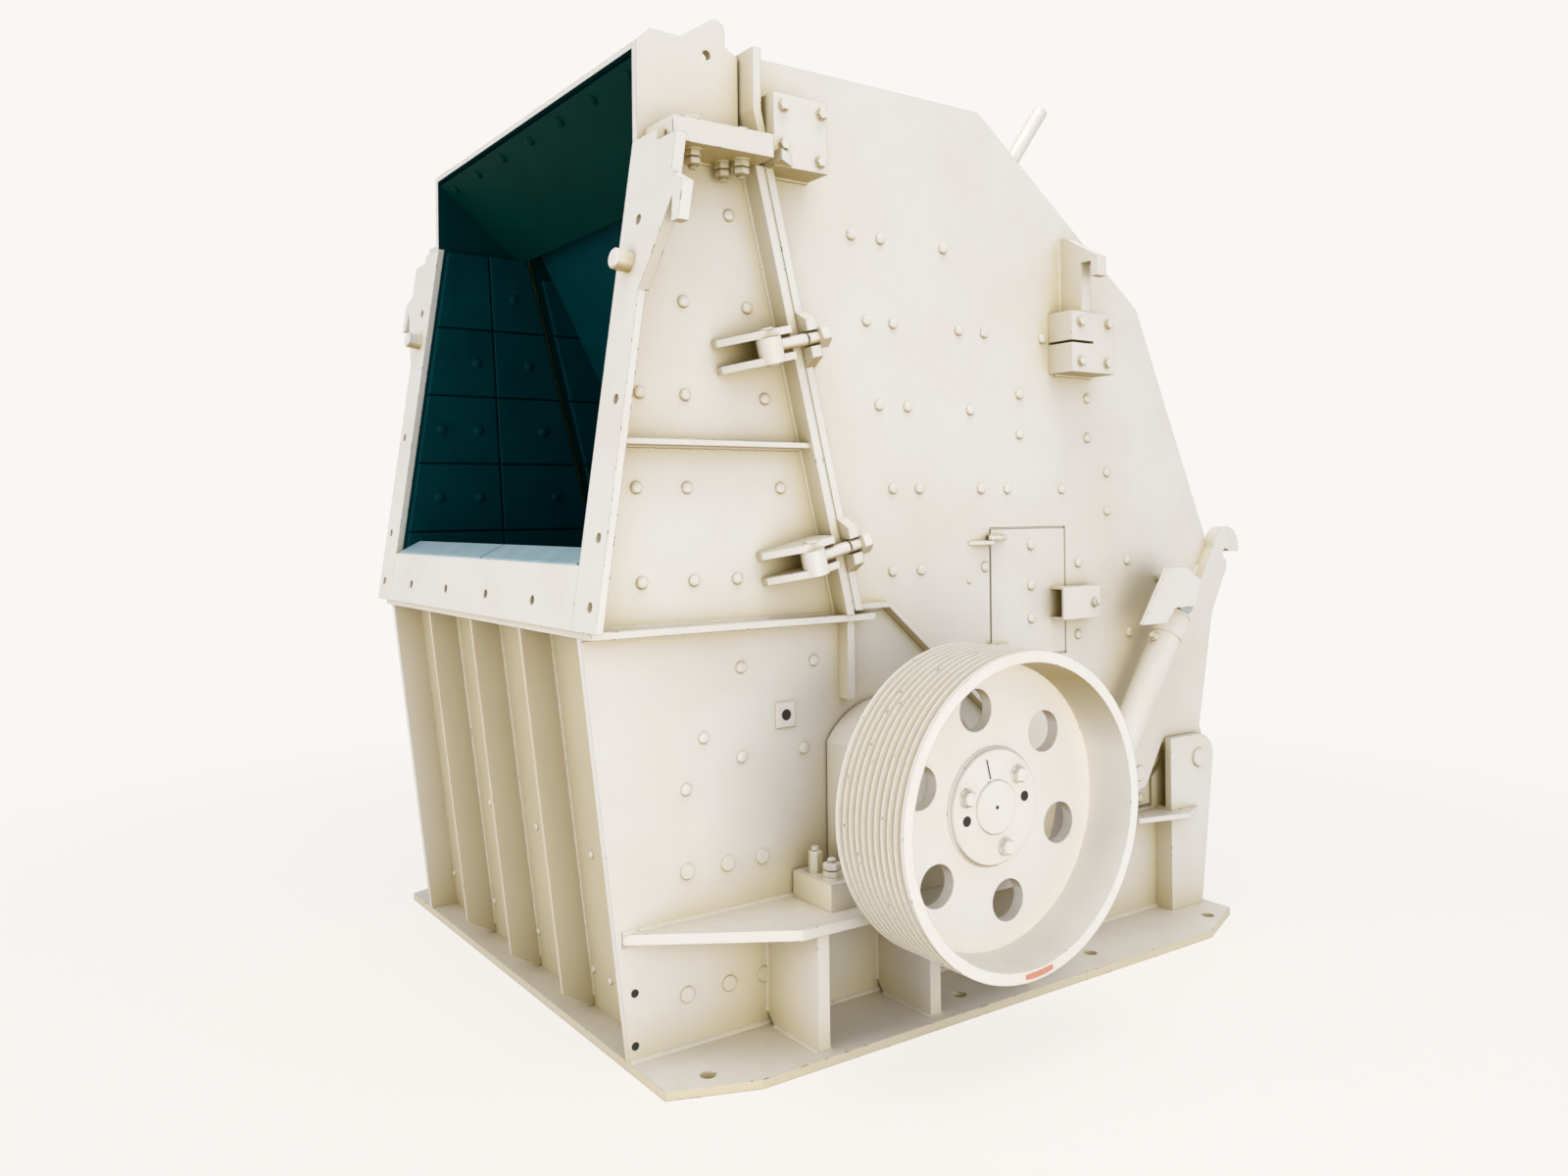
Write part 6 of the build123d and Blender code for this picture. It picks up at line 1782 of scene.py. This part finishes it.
@dataclass
class Studio:
    """Pale floor, white surround and soft lamps; lengths in metres."""

    floor_radius: float = 40.0
    floor_z: float = -0.0005
    floor_corners: int = 64
    fade_from: float = 2.6
    fade_to: float = 5.0
    floor_colour: str = "#F4F0EA"
    floor_roughness: float = 0.9
    back_colour: str = "#FAF6F3"
    floor_glow: float = 0.85
    fill_colour: str = "#FFFFFF"
    fill_strength: float = 0.64
    lamps: tuple[Softbox, ...] = (
        Softbox("key_softbox", (-1.0, -5.2, 0.6), (-0.1, -0.8, 0.8), 3.2, 90.0),
        Softbox("top_softbox", (-0.4, -1.7, 7.2), (-0.4, -1.2, 0.4), 3.0, 125.0),
        Softbox("fill_softbox", (-7.0, -0.6, 1.8), (-0.6, 0.0, 1.0), 3.0, 90.0))

    def build(self) -> None:
        """Builds the floor, the surround and the lamps."""
        self.floor()
        self.surround()
        for lamp in self.lamps:
            lamp.build()

    def shown_rays(self, tree: bpy.types.NodeTree) -> bpy.types.NodeSocket:
        """Finds the rays that show the background: straight, mirrored or through glass.

        Args:
            tree: Node tree of the floor or the surround.

        Returns:
            One for such a ray.
        """
        path = add_node(tree, "LightPath")
        seen = add_node(tree, "Math", {"operation": "MAXIMUM"}, {0: path["Is Camera Ray"], 1: path["Is Glossy Ray"]})[0]
        return add_node(tree, "Math", {"operation": "MAXIMUM"}, {0: seen, 1: path["Is Transmission Ray"]})[0]

    def floor(self) -> None:
        """Lays the floor and fades it to white away from the machine."""
        material, tree = blank_material("studio_floor_matt")
        place = add_node(tree, "TexCoord")["Object"]
        reach = add_node(tree, "VectorMath", {"operation": "LENGTH"}, {0: place})["Value"]
        fade = add_node(tree, "MapRange", {"interpolation_type": "SMOOTHSTEP"}, {
            "Value": reach, "From Min": self.fade_from, "From Max": self.fade_to, "To Min": self.floor_glow})["Result"]
        amount = add_node(tree, "Math", {"operation": "MULTIPLY"}, {0: fade, 1: self.shown_rays(tree)})[0]
        matt = add_node(tree, "BsdfPrincipled", inputs={
            "Base Color": linear(self.floor_colour), "Roughness": self.floor_roughness})
        white = add_node(tree, "Emission", inputs={"Color": linear(self.back_colour), "Strength": 1.0})
        mixed = add_node(tree, "MixShader", inputs={0: amount, 1: matt["BSDF"], 2: white["Emission"]})
        add_node(tree, "OutputMaterial", inputs={"Surface": mixed["Shader"]})
        mesh = bpy.data.meshes.new("studio_floor")
        angles = [i * 2 * math.pi / self.floor_corners for i in range(self.floor_corners)]
        ring = [(self.floor_radius * math.cos(a), self.floor_radius * math.sin(a), self.floor_z) for a in angles]
        mesh.from_pydata(ring, [], [list(range(self.floor_corners))])
        mesh.materials.append(material)
        floor = bpy.data.objects.new("studio_floor", mesh)
        bpy.context.scene.collection.objects.link(floor)

    def surround(self) -> None:
        """Lights from all round and shows plain white behind the machine."""
        world = bpy.data.worlds.new("studio_surround")
        bpy.context.scene.world = world
        world.use_nodes = True
        tree = world.node_tree
        tree.nodes.clear()
        fill = add_node(tree, "Background", inputs={
            "Color": linear(self.fill_colour), "Strength": self.fill_strength})["Background"]
        white = add_node(tree, "Background", inputs={
            "Color": linear(self.back_colour), "Strength": 1.0})["Background"]
        mixed = add_node(tree, "MixShader", inputs={0: self.shown_rays(tree), 1: fill, 2: white})
        add_node(tree, "OutputWorld", inputs={"Surface": mixed["Shader"]})


@dataclass
class PhotoCamera:
    """Camera at the photograph's viewpoint."""

    place: Point = (-2.647, -3.662, 1.475)
    ahead: Point = (0.5703, 0.8215, 0.0)
    roll: float = 0.63
    lens: float = 27.74
    sensor: float = 36.0
    shift_y: float = -0.04775

    def build(self) -> None:
        """Sets the camera up."""
        data = bpy.data.cameras.new("photo_camera")
        data.lens = self.lens
        data.sensor_width = self.sensor
        data.shift_y = self.shift_y
        camera = bpy.data.objects.new("photo_camera", data)
        looking = Vector(self.ahead).to_track_quat("-Z", "Y").to_matrix().to_4x4()
        rolled = Matrix.Rotation(math.radians(-self.roll), 4, "Z")
        camera.matrix_world = Matrix.Translation(Vector(self.place)) @ looking @ rolled
        bpy.context.scene.collection.objects.link(camera)
        bpy.context.scene.camera = camera


def main() -> None:
    """Builds the looks in order."""
    logging.basicConfig(level=logging.INFO, format="%(message)s")
    bpy.context.scene.view_settings.view_transform = "Standard"
    PhotoCamera().build()
    finishes = Finishes()
    for assembly in (NodeCoats, LowerHousing, BearingSet, InletHousing, InnerLining, Hood, DrivePulley, RearHousing,
                     SwingClamps, CylinderBrackets, InspectionDoor, OpeningCylinders):
        assembly(finishes).build()
    Studio().build()


if __name__ == "__main__":
    main()
